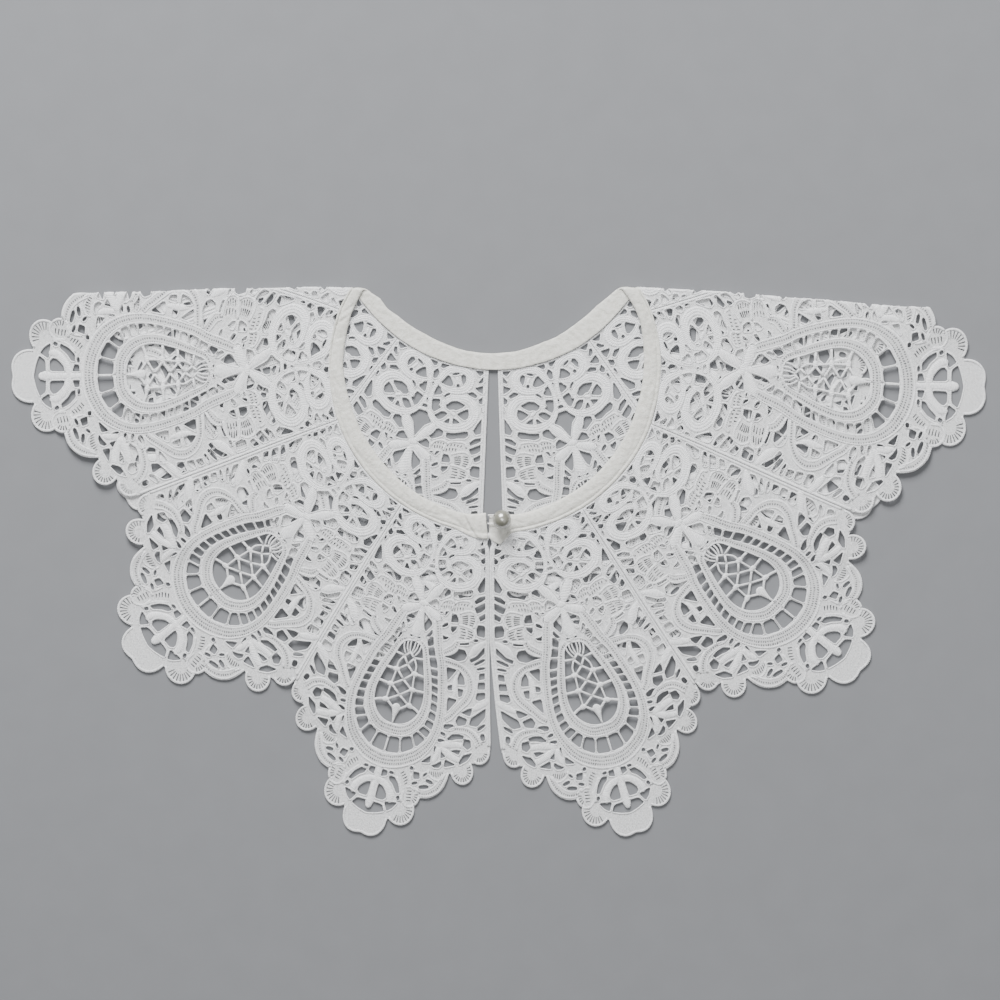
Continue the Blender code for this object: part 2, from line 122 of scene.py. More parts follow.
# Creases pressed into it: place round the neck in degrees, place across, reach along and across
# in millimetres, how far the crease is turned, and its depth.
Crease = namedtuple("Crease", "angle across length width turn depth")
CREASES = table(Crease,
    (351.4, 0.5, 6.4, 0.55, 45, 0.9), (348.2, 0.3, 4, 0.6, 38, 0.45), (355.6, 0.5, 3, 0.6, 70, 0.3),
    (2.4, 0.35, 3.4, 0.7, -62, 0.4), (344, 0.62, 9, 0.7, 12, 0.34), (336, 0.4, 8, 0.6, -10, 0.3),
    (324, 0.7, 7, 0.6, 14, 0.26), (309, 0.45, 9, 0.7, -8, 0.3), (292, 0.6, 6, 0.6, 20, 0.26),
    (274, 0.5, 5, 0.6, -24, 0.24), (254, 0.55, 4, 0.6, 50, 0.34), (247, 0.4, 7, 0.7, 32, 0.5),
    (241, 0.6, 6, 0.7, 24, 0.42), (226, 0.5, 8, 0.7, -9, 0.24), (203, 0.62, 9, 0.7, 7, 0.24),
    (181, 0.5, 6, 0.6, -14, 0.22), (160, 0.6, 8, 0.7, 9, 0.24), (136, 0.5, 7, 0.6, -12, 0.26),
    (117, 0.45, 6, 0.6, -28, 0.34), (104, 0.5, 5, 0.6, 34, 0.26), (82, 0.55, 7, 0.6, 16, 0.26),
    (60, 0.5, 8, 0.7, -10, 0.26), (38, 0.6, 8, 0.6, 10, 0.28), (21, 0.45, 7, 0.6, -14, 0.28),
    (9, 0.6, 5, 0.6, 24, 0.3),
)
# The loop end's fold: its place and turn in degrees, its rise and reach in millimetres.
TUCK_ANGLE, TUCK_TURN, TUCK_RISE, TUCK_REACH, TUCK_SLOPE = 351.9, 45.0, 0.5, 9.0, 2.5
# How far the ends stop short of the middle, in millimetres, at the lace's side and the neck's.
END_SHORT = {-1: (0.5, 2.3), 1: (-0.3, -0.5)}
END_FADE, END_FRAY, FRAY_WAVES = 5.0, 0.16, 31.0
LACE_EDGE_PHASE, NECK_EDGE_PHASE, PUCKER_PHASE = 0.4, 2.0, 1.1  # of its edges' and folds' waves
PEARL_X, PEARL_Y, PEARL_RADIUS = 3.3, -73.6, 4.5
SHANK_RADIUS, SHANK_HEIGHT = 1.25, 0.9
PEARL_RINGS, PEARL_SEGMENTS, PEARL_TOP = 44, 64, 0.02
LOOP_RADIUS, LOOP_START_X, LOOP_STEP, LOOP_TWIST = 0.45, -3.6, 0.25, 1.4
LOOP_BEND_POINTS, PLY_SIDES = 14, 6

# The picture: the table, the lights (name, place, size, power) and the camera.
FLOOR_COLOR = (0.18, 0.185, 0.195)
FLOOR_SIZE = 4.0
FLOOR_HEIGHT = -0.0002
LOOK_AT = (0.00065, 0.02898, 0.0)
VIEW_WIDTH = 0.48
CAMERA_HEIGHT = 2.4
SENSOR = 36.0
WORLD_STRENGTH = 0.2
LIGHTS = (
    ("key_light", (-0.35, 1.55, 1.1), 0.9, 92.0),
    ("fill_light", (0.9, -0.5, 1.6), 1.4, 5.0),
    ("top_light", (0.0, 0.0, 2.7), 0.8, 24.0),
)

Bar = namedtuple("Bar", "neck middle hem")
Petal = namedtuple("Petal", "neck near axis far lean")
Half = namedtuple("Half", "name node side bars petals")
HALVES = (
    Half("loop", "lace_loop_side", -1,
         table(Bar, (1.98, 1.2, 0.65), (34, 33.1, 32.4), (71, 70.7, 70.5), (110, 109.6, 109.2),
               (143.2, 143.4, 143.6), (177.7, 177.7, 177.7)),
         table(Petal, (0, 5, 0.5, 0, -1.6), (-3, -2, -8.5, -2.5, -1.4), (0, 2.5, -1, 6, -1.7),
               (0, 3, -8, 0, 6), (0, 0, 0, 0, 0))),
    Half("button", "lace_button_side", 1,
         table(Bar, (-1.69, -1.03, 1.07), (31.4, 31.9, 32.3), (69.6, 69.5, 69.4),
               (109.8, 109.6, 109.4), (144.6, 144.8, 145), (178.9, 178.6, 178.4)),
         table(Petal, (0, 6.5, 1.5, 2.2, 0.5), (-3, 0.5, -4, 0, -2.6), (0, 4.5, 2.5, 10, 2.3),
               (0, 5, -5, 0, 0), (0, 0, 0, 0, 0))),
)
Droop = namedtuple("Droop", "start reach drop")
DROOPS = {-1: Droop(64.0, 150.0, 2.6), 1: Droop(64.0, 155.0, 9.9)}

# ---- the drawing of one petal ----
# Half a petal is drawn, where u is 0 or more, and every row off the axis has a twin on the other
# side. The cloth is one ground with gaps in it, and a cord runs round each gap. Strips lie on it.

# Lobes of the hem, each an arc of a circle, in order from the bar towards the tip. The angles run
# from the u axis towards w. Slits run in from the rim, down to a share of the radius.
Lobe = namedtuple("Lobe", "u w radius start end slits first last inner")
LOBES = table(Lobe,
    (49.9, 174, 5.9, -24, 99, 6, -4, 86, 0.45),
    (43.7, 186, 6.4, -58, 147, 11, -46, 130, 0.46),
    (19.9, 207.6, 5.9, -4, 40, 4, -22, 34, 0.46),
    (17.3, 215.5, 7.9, -34, 124, 9, -26, 104, 0.42),
)
CRESCENT_HEM = ((37.4, 189.6), (37.3, 193.6), (36.4, 198.0), (34.0, 202.0), (30.4, 205.2),
                (25.9, 206.9))
TIP_HEM = ((12.0, 222.2), (12.0, 224.8), (11.2, 228.0), (9.2, 230.9), (6.0, 232.7), (2.8, 232.9),
           (0.0, 232.4))
HEM_CORD = 1.15
RIM_OVERRUN = 6             # degrees by which a lobe's cord passes its ends
SLIT_WIDTH, SLIT_TAPER, SLIT_LAP = 0.64, 0.6, 0.1
CRESCENT_STRETCHES, TIP_STRETCHES, NET_EDGE_STRETCHES = 10, 12, 30

# Oval gaps: centre, length, width and how far the length is turned from the u axis.
Oval = namedtuple("Oval", "u w length width turn")
OVALS = table(Oval,
    (12.6, 87.8, 1.7, 1.6, 0), (28, 93.2, 2, 1.1, 75), (10.9, 123.2, 1.7, 1.1, 70),
    (10.6, 120.5, 1.6, 0.8, -10), (33.2, 127.2, 2.9, 1.3, -18), (1.9, 135.4, 2, 1, -30),
    (38.2, 135.8, 6.8, 1.5, -40), (39.8, 138.3, 5, 1.2, -27), (26.3, 152, 4.2, 2.5, -25),
    (47.7, 163.1, 5.2, 1.5, -48), (49.8, 167, 3.2, 2.7, 60), (30.5, 169.3, 6.2, 2.6, -20),
    (28.3, 173.6, 3, 1.6, 0), (28.2, 177, 3.9, 1.7, -15), (26.2, 182, 3.2, 1.1, 80),
    (17, 195.1, 2.1, 1.9, 0), (25, 195.4, 2.8, 1.3, -55), (28.3, 197.7, 4.2, 1.9, 0),
    (26.2, 201.2, 5.8, 2, -24), (20.8, 201.3, 3.4, 1.5, -30), (7.1, 200.6, 2.6, 1.5, 0),
    (14.4, 211, 2.2, 1.9, 60),
)
# Gaps with corners.
GAPS = (
    # in and round the small coil
    ((1, 80.8), (5.6, 80.5), (4.4, 81.4), (2.3, 83.1), (1.1, 82.4)),
    ((3.7, 88.9), (5, 86.4), (6.1, 84.8), (7.6, 85.3), (9.4, 87), (10.2, 88.2), (9.4, 89.2),
     (6.4, 89.4)),
    ((7.7, 83.7), (9.2, 82.8), (11.2, 82.1), (11.4, 82.8), (9.9, 83.8), (8.6, 84.2)),
    ((12.4, 83.2), (13.5, 82.1), (14.9, 82.6), (15.8, 84.4), (15.2, 86.8), (13.8, 85.6)),
    ((18.6, 78.6), (21.4, 77.8), (23.6, 77.2), (23.3, 78.4), (21.6, 80.4), (20.6, 79.8)),
    ((22, 82.9), (23.4, 80), (24.7, 80.2), (24.5, 82.2), (22.6, 83.5)),
    ((21.2, 86), (25.4, 83.2), (26.2, 85.4), (26, 87.1), (23.2, 86.8)),
    ((18.2, 89.3), (20.6, 87.9), (23.7, 88.7), (23.1, 90.1), (19.4, 89.9)),
    ((24.6, 90.2), (26.5, 87.9), (27.7, 90.1), (26.8, 91.5), (25.4, 91.4)),
    # in and round the large coil
    ((2.9, 90.2), (4.5, 90.8), (4.9, 91.8), (6.3, 92.7), (5.9, 93.8), (2.3, 95.1), (2.1, 93.6)),
    ((7.5, 94), (8.2, 92.8), (9.4, 92), (10.5, 91.9), (10, 92.8), (8.9, 93.6), (8, 94.8)),
    ((2.3, 96.8), (6.1, 95.8), (6.8, 97.2), (6.4, 98.6), (8, 99), (7, 100.3), (5.1, 102.2), (3.7, 101)),
    ((9.9, 97.4), (12, 95), (14.8, 93.9), (19.5, 94.4), (18.2, 96), (15.6, 98), (14.2, 98), (12.4, 98.9),
     (10.6, 98.5)),
    ((16.6, 99.5), (18.6, 97.3), (21.2, 95.5), (22.5, 98), (22.3, 99.8), (21.2, 100.9), (18.9, 100.4)),
    ((6.1, 103.3), (8.3, 100.9), (10, 100.2), (12, 100.6), (11.8, 101.6), (10.2, 103.7), (8.8, 104.6),
     (6.8, 104.3)),
    ((11.4, 105.1), (13.3, 102.5), (14, 102.6), (14.4, 105)),
    ((15.4, 101.7), (17.2, 101.9), (19.5, 102.7), (18.2, 103.6), (16, 104.5)),
    ((27, 104.2), (27.7, 101), (28.9, 97.6), (29.6, 97), (30.7, 101), (31.2, 104), (28.8, 105.6)),
    # from the large coil to the fans
    ((6.8, 113.6), (8.4, 111.6), (9.2, 109.2), (10.6, 108.6), (13, 109.2), (13.3, 111.4), (10.8, 113.2),
     (8.6, 114.6)),
    ((14.6, 109.4), (18.8, 108.2), (22.4, 106.2), (24.6, 105.4), (25.6, 107), (24.4, 109), (20.8, 110.2),
     (18, 111.8), (15.2, 111.6)),
    ((27.2, 110.2), (29, 107.6), (32.2, 105.8), (32.8, 107.2), (31.2, 109), (28.2, 111.4)),
    ((28, 113.2), (31, 110.6), (33.1, 108.9), (34.1, 111.6), (32.6, 113.6), (30, 115.4)),
    ((31.6, 116.6), (34.6, 113.5), (35.6, 116), (33, 118.2)),
    ((31.9, 122.2), (32.4, 120), (36.4, 119.2), (37.9, 124.4), (33.2, 125)),
    # round the flower
    ((2.3, 118.2), (4.6, 116), (6.2, 115.2), (8.2, 116.4), (9, 119.2), (5.6, 119.2)),
    ((1.3, 122.6), (4.2, 124.6), (6.9, 126.2), (7.3, 127.9), (6, 129.8), (4.8, 131.6), (3.5, 130.2),
     (2.4, 127)),
    ((5.5, 133.8), (8, 129.6), (8.9, 131.1), (7.8, 133.3)),
    # the web beside it
    ((12.5, 121.2), (13, 119.2), (14.9, 118.8), (14.2, 119.8), (13.2, 121.4)),
    ((16.6, 119.4), (19.2, 119), (21, 121), (21.2, 122.4), (17, 123.4), (16.8, 121.6)),
    ((17.7, 125.4), (21.3, 124.1), (21, 125.8), (19.2, 128.1), (18.1, 126.9)),
    ((12.4, 126.8), (14, 124.8), (15.6, 124), (16, 125.4), (13.9, 126.9)),
    ((13.8, 130.2), (15.7, 130.7), (18.2, 130.4), (17.2, 131.7), (15.4, 132.5)),
    ((24.3, 131.4), (27.5, 130.3), (30, 129.1), (30.1, 130.2), (27.8, 131.1), (24.8, 132.1)),
    # from the web to the trefoil
    ((18.2, 139.8), (22.8, 136.2), (25, 133.8), (28.6, 133.2), (30.6, 135.2), (29.9, 137.5),
     (26.6, 139.4), (22, 139.4)),
    ((32.4, 136.4), (35.6, 134), (38.8, 128.2), (39.9, 131), (37, 135), (33.6, 137.7)),
    ((39.6, 140.7), (42.5, 139.3), (43.4, 141.9), (40.3, 143.5)),
    ((40.1, 144.6), (43.9, 143.2), (44.9, 146.2), (40.7, 147.7)),
    ((40.8, 149.3), (45.4, 147.4), (46.1, 150.3), (43, 152.3), (41, 152.1)),
    ((20.9, 143.8), (27.1, 143.1), (25.4, 146.4), (23.5, 149.7)),
    ((28.9, 143.3), (31.8, 145), (33.6, 148.1), (28.4, 149.6)),
    ((29.9, 151), (33.3, 150.4), (33.4, 153.4), (31.6, 154.7)),
    ((25.7, 156.7), (31.6, 155.9), (27.3, 163.7)),
    ((34.9, 160.8), (38.2, 157.8), (40.8, 156.3), (40.5, 160.6)),
    ((34, 162.4), (39.3, 162.2), (39.1, 165.1), (35, 167.2), (33.2, 165.5)),
    ((47.7, 153.9), (48.6, 158), (45.5, 163.6), (40.9, 164.5), (41, 161), (43.6, 158.3)),
    ((31.1, 174.9), (33.2, 171.8), (36.8, 170.3), (39.9, 170.1), (39.7, 171.7), (36, 173.2),
     (32.7, 175.4)),
    ((40.2, 171.3), (43.7, 170.6), (45.1, 173.5), (43.3, 175.5), (40.4, 174.6)),
    ((34.3, 179.5), (37.2, 177.8), (40.2, 176.9), (39.5, 179.6)),
    ((41.8, 178.8), (46.5, 175.6), (44.9, 180.2), (41.4, 183.8), (40.6, 182.6)),
    ((29.6, 181.4), (33.1, 182.9), (30.6, 184.9)),
    ((33, 184.2), (39.7, 184.4), (33.6, 188.2)),
    ((25.1, 185.3), (25.9, 189), (20.6, 190.8)),
    ((26.7, 190), (29, 188.3), (31.4, 185.7), (32.1, 187.3), (31.2, 189.4), (28.6, 190.4)),
    ((18.3, 196.2), (21.9, 195.6), (22.9, 198.4), (19.6, 199.7)),
    ((1.9, 200.2), (4.9, 200.3), (5.3, 202.6), (2, 203.8)),
    ((6.4, 202.3), (9.5, 202), (12.6, 204.8), (14.6, 208.6), (12.6, 209.1), (9.6, 205.8), (7, 204.2)),
    ((2, 207.4), (4.9, 208), (7.7, 210.7), (8.1, 213), (6.6, 214.5), (2.2, 214.6)),
    ((7.7, 214.9), (14.9, 213.2), (12.9, 216.7), (10.4, 218.9)),
)
# Gaps across the axis.
AXIS_GAPS = (
    ((0, 83.5), (1.6, 85.2), (1, 87.8), (0, 88.2), (-1, 87.8), (-1.6, 85.2)),
    ((0, 89.4), (0.6, 90.1), (0, 90.8), (-0.6, 90.1)),
    ((0, 96.7), (0.5, 97.6), (0, 98.5), (-0.5, 97.6)),
    ((-2.2, 101.2), (-1.4, 100.2), (0, 99.8), (1.4, 100.2), (2.2, 101.2), (0, 101.4)),
    ((-2.2, 103), (2.2, 103), (3.2, 104.6), (5.8, 107.2), (4.2, 108.4), (2.9, 109.6), (1.4, 112.8),
     (0, 116), (-1.4, 112.8), (-2.9, 109.6), (-4.2, 108.4), (-5.8, 107.2), (-3.2, 104.6)),
    ((-2.2, 133.1), (0, 133.9), (2.2, 133.1), (1.2, 134.3), (0, 134.6), (-1.2, 134.3)),
    ((-9.2, 219.4), (-7, 216.5), (0, 216.5), (7, 216.5), (9.2, 219.4), (5, 221.2), (0, 222.4),
     (-5, 221.2)),
)
CORNER_CUT = 0.16           # share of an edge that the rounding of a corner takes
CORNER_BULGE = 0.25         # and how near the rounding comes to the corner, as a share
LEAST_STRETCH = 0.25        # between two points of a gap's outline
OVAL_POWER = 0.72           # under 1, which makes an oval fuller than an ellipse

# The ladder between the two bands of the teardrop: its rungs from the inner to the outer edge.
Rung = namedtuple("Rung", "inner_u inner_w outer_u outer_w")
RUNG_WIDTH = 0.95
RUNGS = table(Rung,
    (6.7, 134.7, 9.4, 132), (8.5, 138.4, 11.4, 136.8), (10.3, 142.4, 14.2, 141.2),
    (12.6, 147.1, 16.8, 146.5), (14.3, 150.7, 18, 150.3), (15.6, 154.1, 19.2, 154),
    (16.7, 157.8, 20.4, 157.9), (17.8, 161.7, 21.4, 161.9), (18.3, 165.9, 22.1, 166.2),
    (18, 170.1, 22.2, 170.5), (17.1, 173.9, 21.7, 174.9), (14.4, 177.4, 20, 179.3),
    (12, 180.6, 15.6, 185.5), (6.4, 183.4, 8.4, 190.6), (-0.3, 184.2, -0.3, 192),
)
# The teardrop's inner gap, which holds the net: its edge where u is 0 or more.
NET_EDGE = ((0.0, 137.6), (3.0, 138.0), (5.2, 139.4), (6.7, 142.4), (8.3, 146.8), (9.9, 151.0),
            (11.4, 155.2), (12.8, 160.0), (13.1, 165.0), (12.0, 170.0), (8.7, 174.6), (4.4, 177.1),
            (0.0, 177.8))

# Strips: a section, its width or widths along it, and its centre line.
Strip = namedtuple("Strip", "section widths points")
TAPE, CORD, SATIN, BRAID = "tape", "cord", "satin", "braid"
NET_ZIGZAG = ((0, 142.9), (2.7, 145.4), (0, 149), (4.5, 152.4), (0, 156.4), (5.5, 159.9),
              (0, 163.9), (6, 167.5))
NET = table(Strip,
    *((CORD, 1, stretch) for stretch in zip(NET_ZIGZAG, NET_ZIGZAG[1:])),
    (CORD, 1.1, ((6, 167.5), (0.6, 171.4))),
    (CORD, 1, ((2.7, 145.2), (8.4, 144.4))),
    (CORD, 0.9, ((3, 145.6), (5, 149), (5, 152.4))),
    (CORD, 0.9, ((5, 152.4), (5.5, 156.4), (6.1, 160))),
    (CORD, 0.9, ((6.1, 160), (6.3, 164), (6.5, 167.6))),
    (CORD, 1.2, ((5, 152.3), (11, 152.3))),
    (CORD, 1.2, ((6, 160), (13.4, 159.2))),
    (CORD, 1.3, ((6.4, 167.6), (9.6, 168), (13.2, 169.4))),
    (CORD, 0.8, ((1.2, 137), (1.1, 140.4), (0.3, 143.3))),
    (CORD, 0.8, ((2.9, 137.6), (2.6, 140.8), (1, 143.6))),
    (CORD, 0.8, ((4.7, 138.6), (4.3, 141.2), (2.4, 144.4))),
    (SATIN, (2.4, 2.8, 2.4), ((4.4, 152.4), (5, 152.4), (5.8, 152.4))),
    (SATIN, (2.4, 2.9, 2.4), ((5.3, 159.9), (6, 159.9), (6.8, 159.9))),
    (SATIN, (2.4, 2.9, 2.4), ((5.9, 167.5), (6.6, 167.5), (7.4, 167.7))),
)
# One braid, coiled small under the neck and large below it: its width and its middle.
COIL_WIDTHS = (1.6, 2.4, 3.0, 3.8, 4.2, 4.0, 3.2, 2.6, 3.4, 3.0, 2.0, 1.6, 1.6, 2.0, 2.8, 3.2, 3.6,
               4.0, 4.1, 4.2, 4.3, 4.3, 4.0, 3.6, 2.5, 2.4, 2.3, 1.8)
COIL = ((3.6, 89.9), (8.6, 90.8), (13.2, 90.0), (16.8, 87.9), (18.2, 84.8), (17.0, 81.8),
        (13.2, 80.5), (9.0, 81.1), (5.4, 83.2), (3.4, 86.8), (1.9, 90.6), (1.4, 94.4), (1.5, 98.4),
        (2.9, 101.8), (4.6, 103.9), (7.6, 106.1), (11.4, 107.0), (15.2, 106.9), (19.4, 105.6),
        (22.9, 103.2), (25.0, 99.8), (25.2, 96.6), (23.2, 93.6), (19.6, 92.0), (15.0, 92.6),
        (11.2, 93.9), (8.7, 96.0), (8.7, 98.6))
RELIEF = table(Strip,
    (BRAID, COIL_WIDTHS, COIL),
    # the knots that the coils' threads meet in
    (SATIN, (1.3, 1.8, 1.3), ((10.9, 84.8), (11.6, 85.7), (12.2, 86.4))),
    (SATIN, (1.3, 2, 1.4), ((13.2, 99.5), (14.4, 99.8), (15.4, 100.2))),
    # the flower over the teardrop
    (SATIN, (2.4, 4.7, 5, 3.4), ((1, 118), (3.2, 114.9), (5.4, 111.6), (7.3, 108.5))),
    (SATIN, (3, 4.7, 4.6), ((1.6, 120.4), (5.2, 121.9), (8.9, 123.4))),
    # the fans' edges
    (CORD, 1.1, ((9.6, 117.8), (10, 115.6), (12.4, 113.9), (15.2, 113.3), (16.6, 114.4))),
    (CORD, 1.1, ((16, 118), (16.4, 114.6), (19, 112.6), (22.4, 111.5), (25.4, 111.2), (26.6, 113.2))),
    (CORD, 1.1, ((20.6, 118.3), (23.4, 116.5), (27, 115.2), (29.6, 115.9), (31, 117.8), (31, 120.8),
     (29.8, 122.6))),
    (CORD, 1.1, ((21.8, 123.3), (25.2, 122.9), (28.4, 122.9), (31.2, 123.4), (32.2, 125.6), (31, 128),
     (27.8, 129.2), (22.8, 130.8))),
    (TAPE, (3.2, 4.6, 4.6, 3.4), ((23.2, 130.6), (22.9, 133.6), (20.6, 136), (17.6, 138.2))),
    (SATIN, (2.2, 4.6, 4.8, 2.2), ((38.2, 126.6), (35.6, 129.6), (33.7, 132.2), (32.2, 134.6))),
    # the half ring beside the teardrop
    (TAPE, (2.6, 3, 3.4, 4.4, 5, 4.8, 4.2, 3.8, 3.6, 3), ((19.4, 141.9), (24, 141.6), (29, 141.6),
     (34.2, 143.8), (37.1, 148), (36.8, 152.8), (34.2, 157.4), (31.6, 161.4), (29.8, 164.6),
     (27.4, 167.2))),
    (SATIN, (1.8, 3.4, 3.4, 2), ((27.6, 146.2), (27.9, 149.2), (28.6, 152), (29, 154.6))),
    (SATIN, (3.2, 4.2, 2.4), ((47.4, 151), (44.4, 153.8), (41.4, 156.6))),
    # the trefoil and its bands
    (TAPE, (2.4, 2.8, 3.2, 3.8, 4.4, 4.8), ((31, 171.6), (33.4, 169.6), (37, 168.2), (41.8, 167.4),
     (46, 168.8), (49, 171.4))),
    (SATIN, (3.2, 4, 3), ((29.2, 178.9), (33.8, 176.6), (39.2, 175))),
    (SATIN, (3.2, 4, 3.4), ((29.6, 180), (35, 181.6), (39.2, 181.8))),
    (SATIN, (3, 3.4, 2.4), ((28, 181.8), (28, 184.8), (27.4, 187.6))),
    # the crescent of the hem and the blocks beside it
    (TAPE, (2.8, 3.8, 4.4, 4.2, 3.4, 2.6), ((35.4, 191.4), (34.9, 194.6), (33.6, 198.4), (31, 201.8),
     (27.8, 203.9), (24.6, 204.9))),
    (CORD, 1.1, ((26, 192.2), (26.6, 194), (30, 195.6), (34, 194.4), (35.4, 191))),
    (CORD, 1.2, ((10.6, 201.4), (13.9, 204.8), (15.9, 208.6), (16.3, 212.4))),
    (CORD, 1.2, ((17.8, 197.6), (18.2, 200.6), (19.4, 203.4), (22.4, 204.4))),
    (CORD, 1.2, ((16.2, 206.6), (16.8, 211), (20, 213.2), (24.2, 211.8))),
    (CORD, 1.2, ((17.2, 204.6), (20.8, 203.2), (24.6, 204.6))),
)
# The teardrop's bands: the edges of the cord along each side.
BANDS = table(Strip,
    (TAPE, (3.6, 4.7, 4.9, 5, 4.6, 4.3, 4.3, 4.3, 4.4, 4.5, 4.7, 4.8, 5.1, 6.3, 7.2, 7.6, 7.8),
     ((9.2, 124.2), (10.9, 127.8), (12.5, 132), (14.6, 137.6), (17.4, 142.6), (19.2, 146.8),
     (20.6, 150.9), (22, 155.4), (23.2, 160), (24.2, 165), (24.6, 170), (24.2, 174.8), (22.8, 180),
     (18.6, 187.2), (14, 191.2), (7.6, 194.6), (0, 195.9))),
    (TAPE, (2.2, 2.3, 2.6, 3.1, 3.7, 4.1, 4.3, 4.5, 4.7, 5.1, 5.4, 5.7, 6), ((0, 136.5), (3.4, 137),
     (6.4, 138.6), (8.4, 142.2), (10.3, 146.8), (12.1, 151), (13.6, 155.4), (14.9, 160), (15.5, 165.2),
     (14.7, 170.6), (12, 175.6), (6.6, 180), (0, 180.9))),
)
# Strips on the axis, which have no twin.
ON_AXIS = table(Strip,
    (SATIN, (1.2, 1.6, 1.6, 1.2), ((-2.8, 102.7), (-0.9, 102.2), (0.9, 102.2), (2.8, 102.7))),
    (SATIN, (3, 3.8, 3), ((-1.2, 118.8), (0, 118.8), (1.2, 118.8))),
    (SATIN, (2.8, 4.2, 6.2, 6.9), ((0, 120), (0, 124.4), (0, 128.8), (0, 131.6))),
    (SATIN, (5, 2.8, 1.4), ((0, 170.6), (0, 172.8), (0, 175.4))),
    (CORD, 1, ((0, 174.4), (0, 178.6))),
    (SATIN, (2.8, 3.4, 3.8, 4.6, 3.8), ((0, 199.6), (0, 206), (0, 213), (0, 217), (0, 218.2))),
    (SATIN, (3, 4.4, 4, 3.5, 3.3, 3.5, 4, 4.4, 3), ((-10.4, 213.2), (-10.2, 211.6), (-8, 208.7),
     (-4.5, 206.3), (0, 205.5), (4.5, 206.3), (8, 208.7), (10.2, 211.6), (10.4, 213.2))),
)
# Fans: slits between an inner line and an outer one, this many side by side.
Fan = namedtuple("Fan", "slits inner outer")
FANS = table(Fan,
    (4, ((11.6, 118.3), (13.2, 117.6), (15.2, 117.4)), ((11.2, 116.9), (13, 116.3), (15.1, 116.1))),
    (4, ((11, 116), (12.9, 115.4), (15.2, 115.2)), ((11, 115.2), (12.8, 114.6), (15.1, 114.3))),
    (4, ((17.6, 118), (19.4, 116.9), (22, 116.2)), ((17.4, 116.4), (19.2, 115.5), (21.8, 114.9))),
    (5, ((17.4, 115.4), (19.6, 114.5), (23.8, 113.7)), ((17.4, 114.4), (19.6, 113.4), (24, 112.5))),
    (5, ((22.4, 119.2), (23.2, 120.7), (23.6, 122)), ((25.4, 117.8), (26.2, 119.6), (26.4, 121.6))),
    (5, ((26.6, 117.4), (27.4, 119.4), (27.6, 121.5)), ((29, 116.9), (30.1, 118.9), (29.6, 121.4))),
    (4, ((23, 124.6), (24, 126.6), (23.6, 128.8)), ((25.8, 124.3), (26.8, 126.2), (26.4, 128.2))),
    (4, ((27.2, 124.3), (28, 126.2), (27.6, 127.9)), ((30.2, 124.4), (31.1, 126), (29.6, 127.5))),
    (7, ((26.6, 192.8), (30, 191.8), (33.4, 190.4)), ((27.4, 194), (31, 194.2), (34.2, 191.8))),
    (5, ((12, 199.6), (14.2, 201.6), (15.6, 203.8)), ((13.6, 198), (16, 199.8), (17, 202.4))),
    (4, ((18, 206.2), (18.2, 208.4), (19, 210.6)), ((20.6, 205.4), (21, 207.8), (21.4, 210))),
)

BAR_CORD = 1.25             # width of each of a bar's two cords
BAR_OFFSET = 0.70           # and how far its middle lies from the bar's own line
# Both cords of the edges at the centre front, by side, and at the centre back, and their width.
FRONT_EDGE = {-1: ((0.34, 1.42), 1.05), 1: ((0.42, 1.66), 1.25)}
BACK_EDGE = ((0.52, 1.8), 1.25)
BAR_RADII = np.array((80.1, 82.4, 85.0, 87.6, 92.0, 101.0, 110.0, 120.0, 130.0, 140.0, 150.0,
                      160.0, 170.0, 178.4))
OUTLINE_BAR_END, OUTLINE_BAR_POINTS, OUTLINE_NECK_POINTS = 179.6, 64, 15
NECK_EASE = 0.1             # how far outside the neck radius a petal starts
NOTCH_RADIUS, NOTCH_REACH, NOTCH_DEPTH = 85.0, 3.2, 1.3
NECK_CORD, NECK_CORD_POINTS = 0.7, 9

# Sections, in millimetres: heights over or under the cloth's middle.
RIM, RIM_HEIGHT = 0.85, 0.5     # the cord along a tape's edge
FILL_HEIGHT, GROUND_HEIGHT, SATIN_HEIGHT = 0.3, 0.2, 0.5
CORD_SIDES = 6
GAP_CORD, GAP_CORD_HEIGHT = 0.8, 0.44   # the cord round a gap
LEAST_GAP_CORD, GAP_CORD_SHARE = 0.5, 0.14      # thinner round a small gap
GAP_LAP = 0.03              # how far the cord reaches into the gap
END_TURNS = (0.6, 1.1, 1.42)    # where a leaf's round end has its points
LEAST_RISE = 0.3            # of a strip that narrows to nothing, as a share

STEP, STRAIGHT_STEP, EVEN_STEP = 1.2, 2.6, 0.5  # stretches of curved, straight and even lines
CURVE_SAMPLES = 16          # between two points of a curve
ARC_STEP = 11.0             # in degrees
GRID = 4.0                  # pitch of the points inside the ground


def smooth_step(value):
    """Rise from 0 to 1 as value does, level at both ends."""
    value = np.clip(value, 0.0, 1.0)
    return value * value * (3.0 - 2.0 * value)


# ---- lines ----

def length_along(line):
    """How far along a line each of its points lies."""
    return np.concatenate(([0.0], np.cumsum(np.linalg.norm(np.diff(line, axis=0), axis=1))))


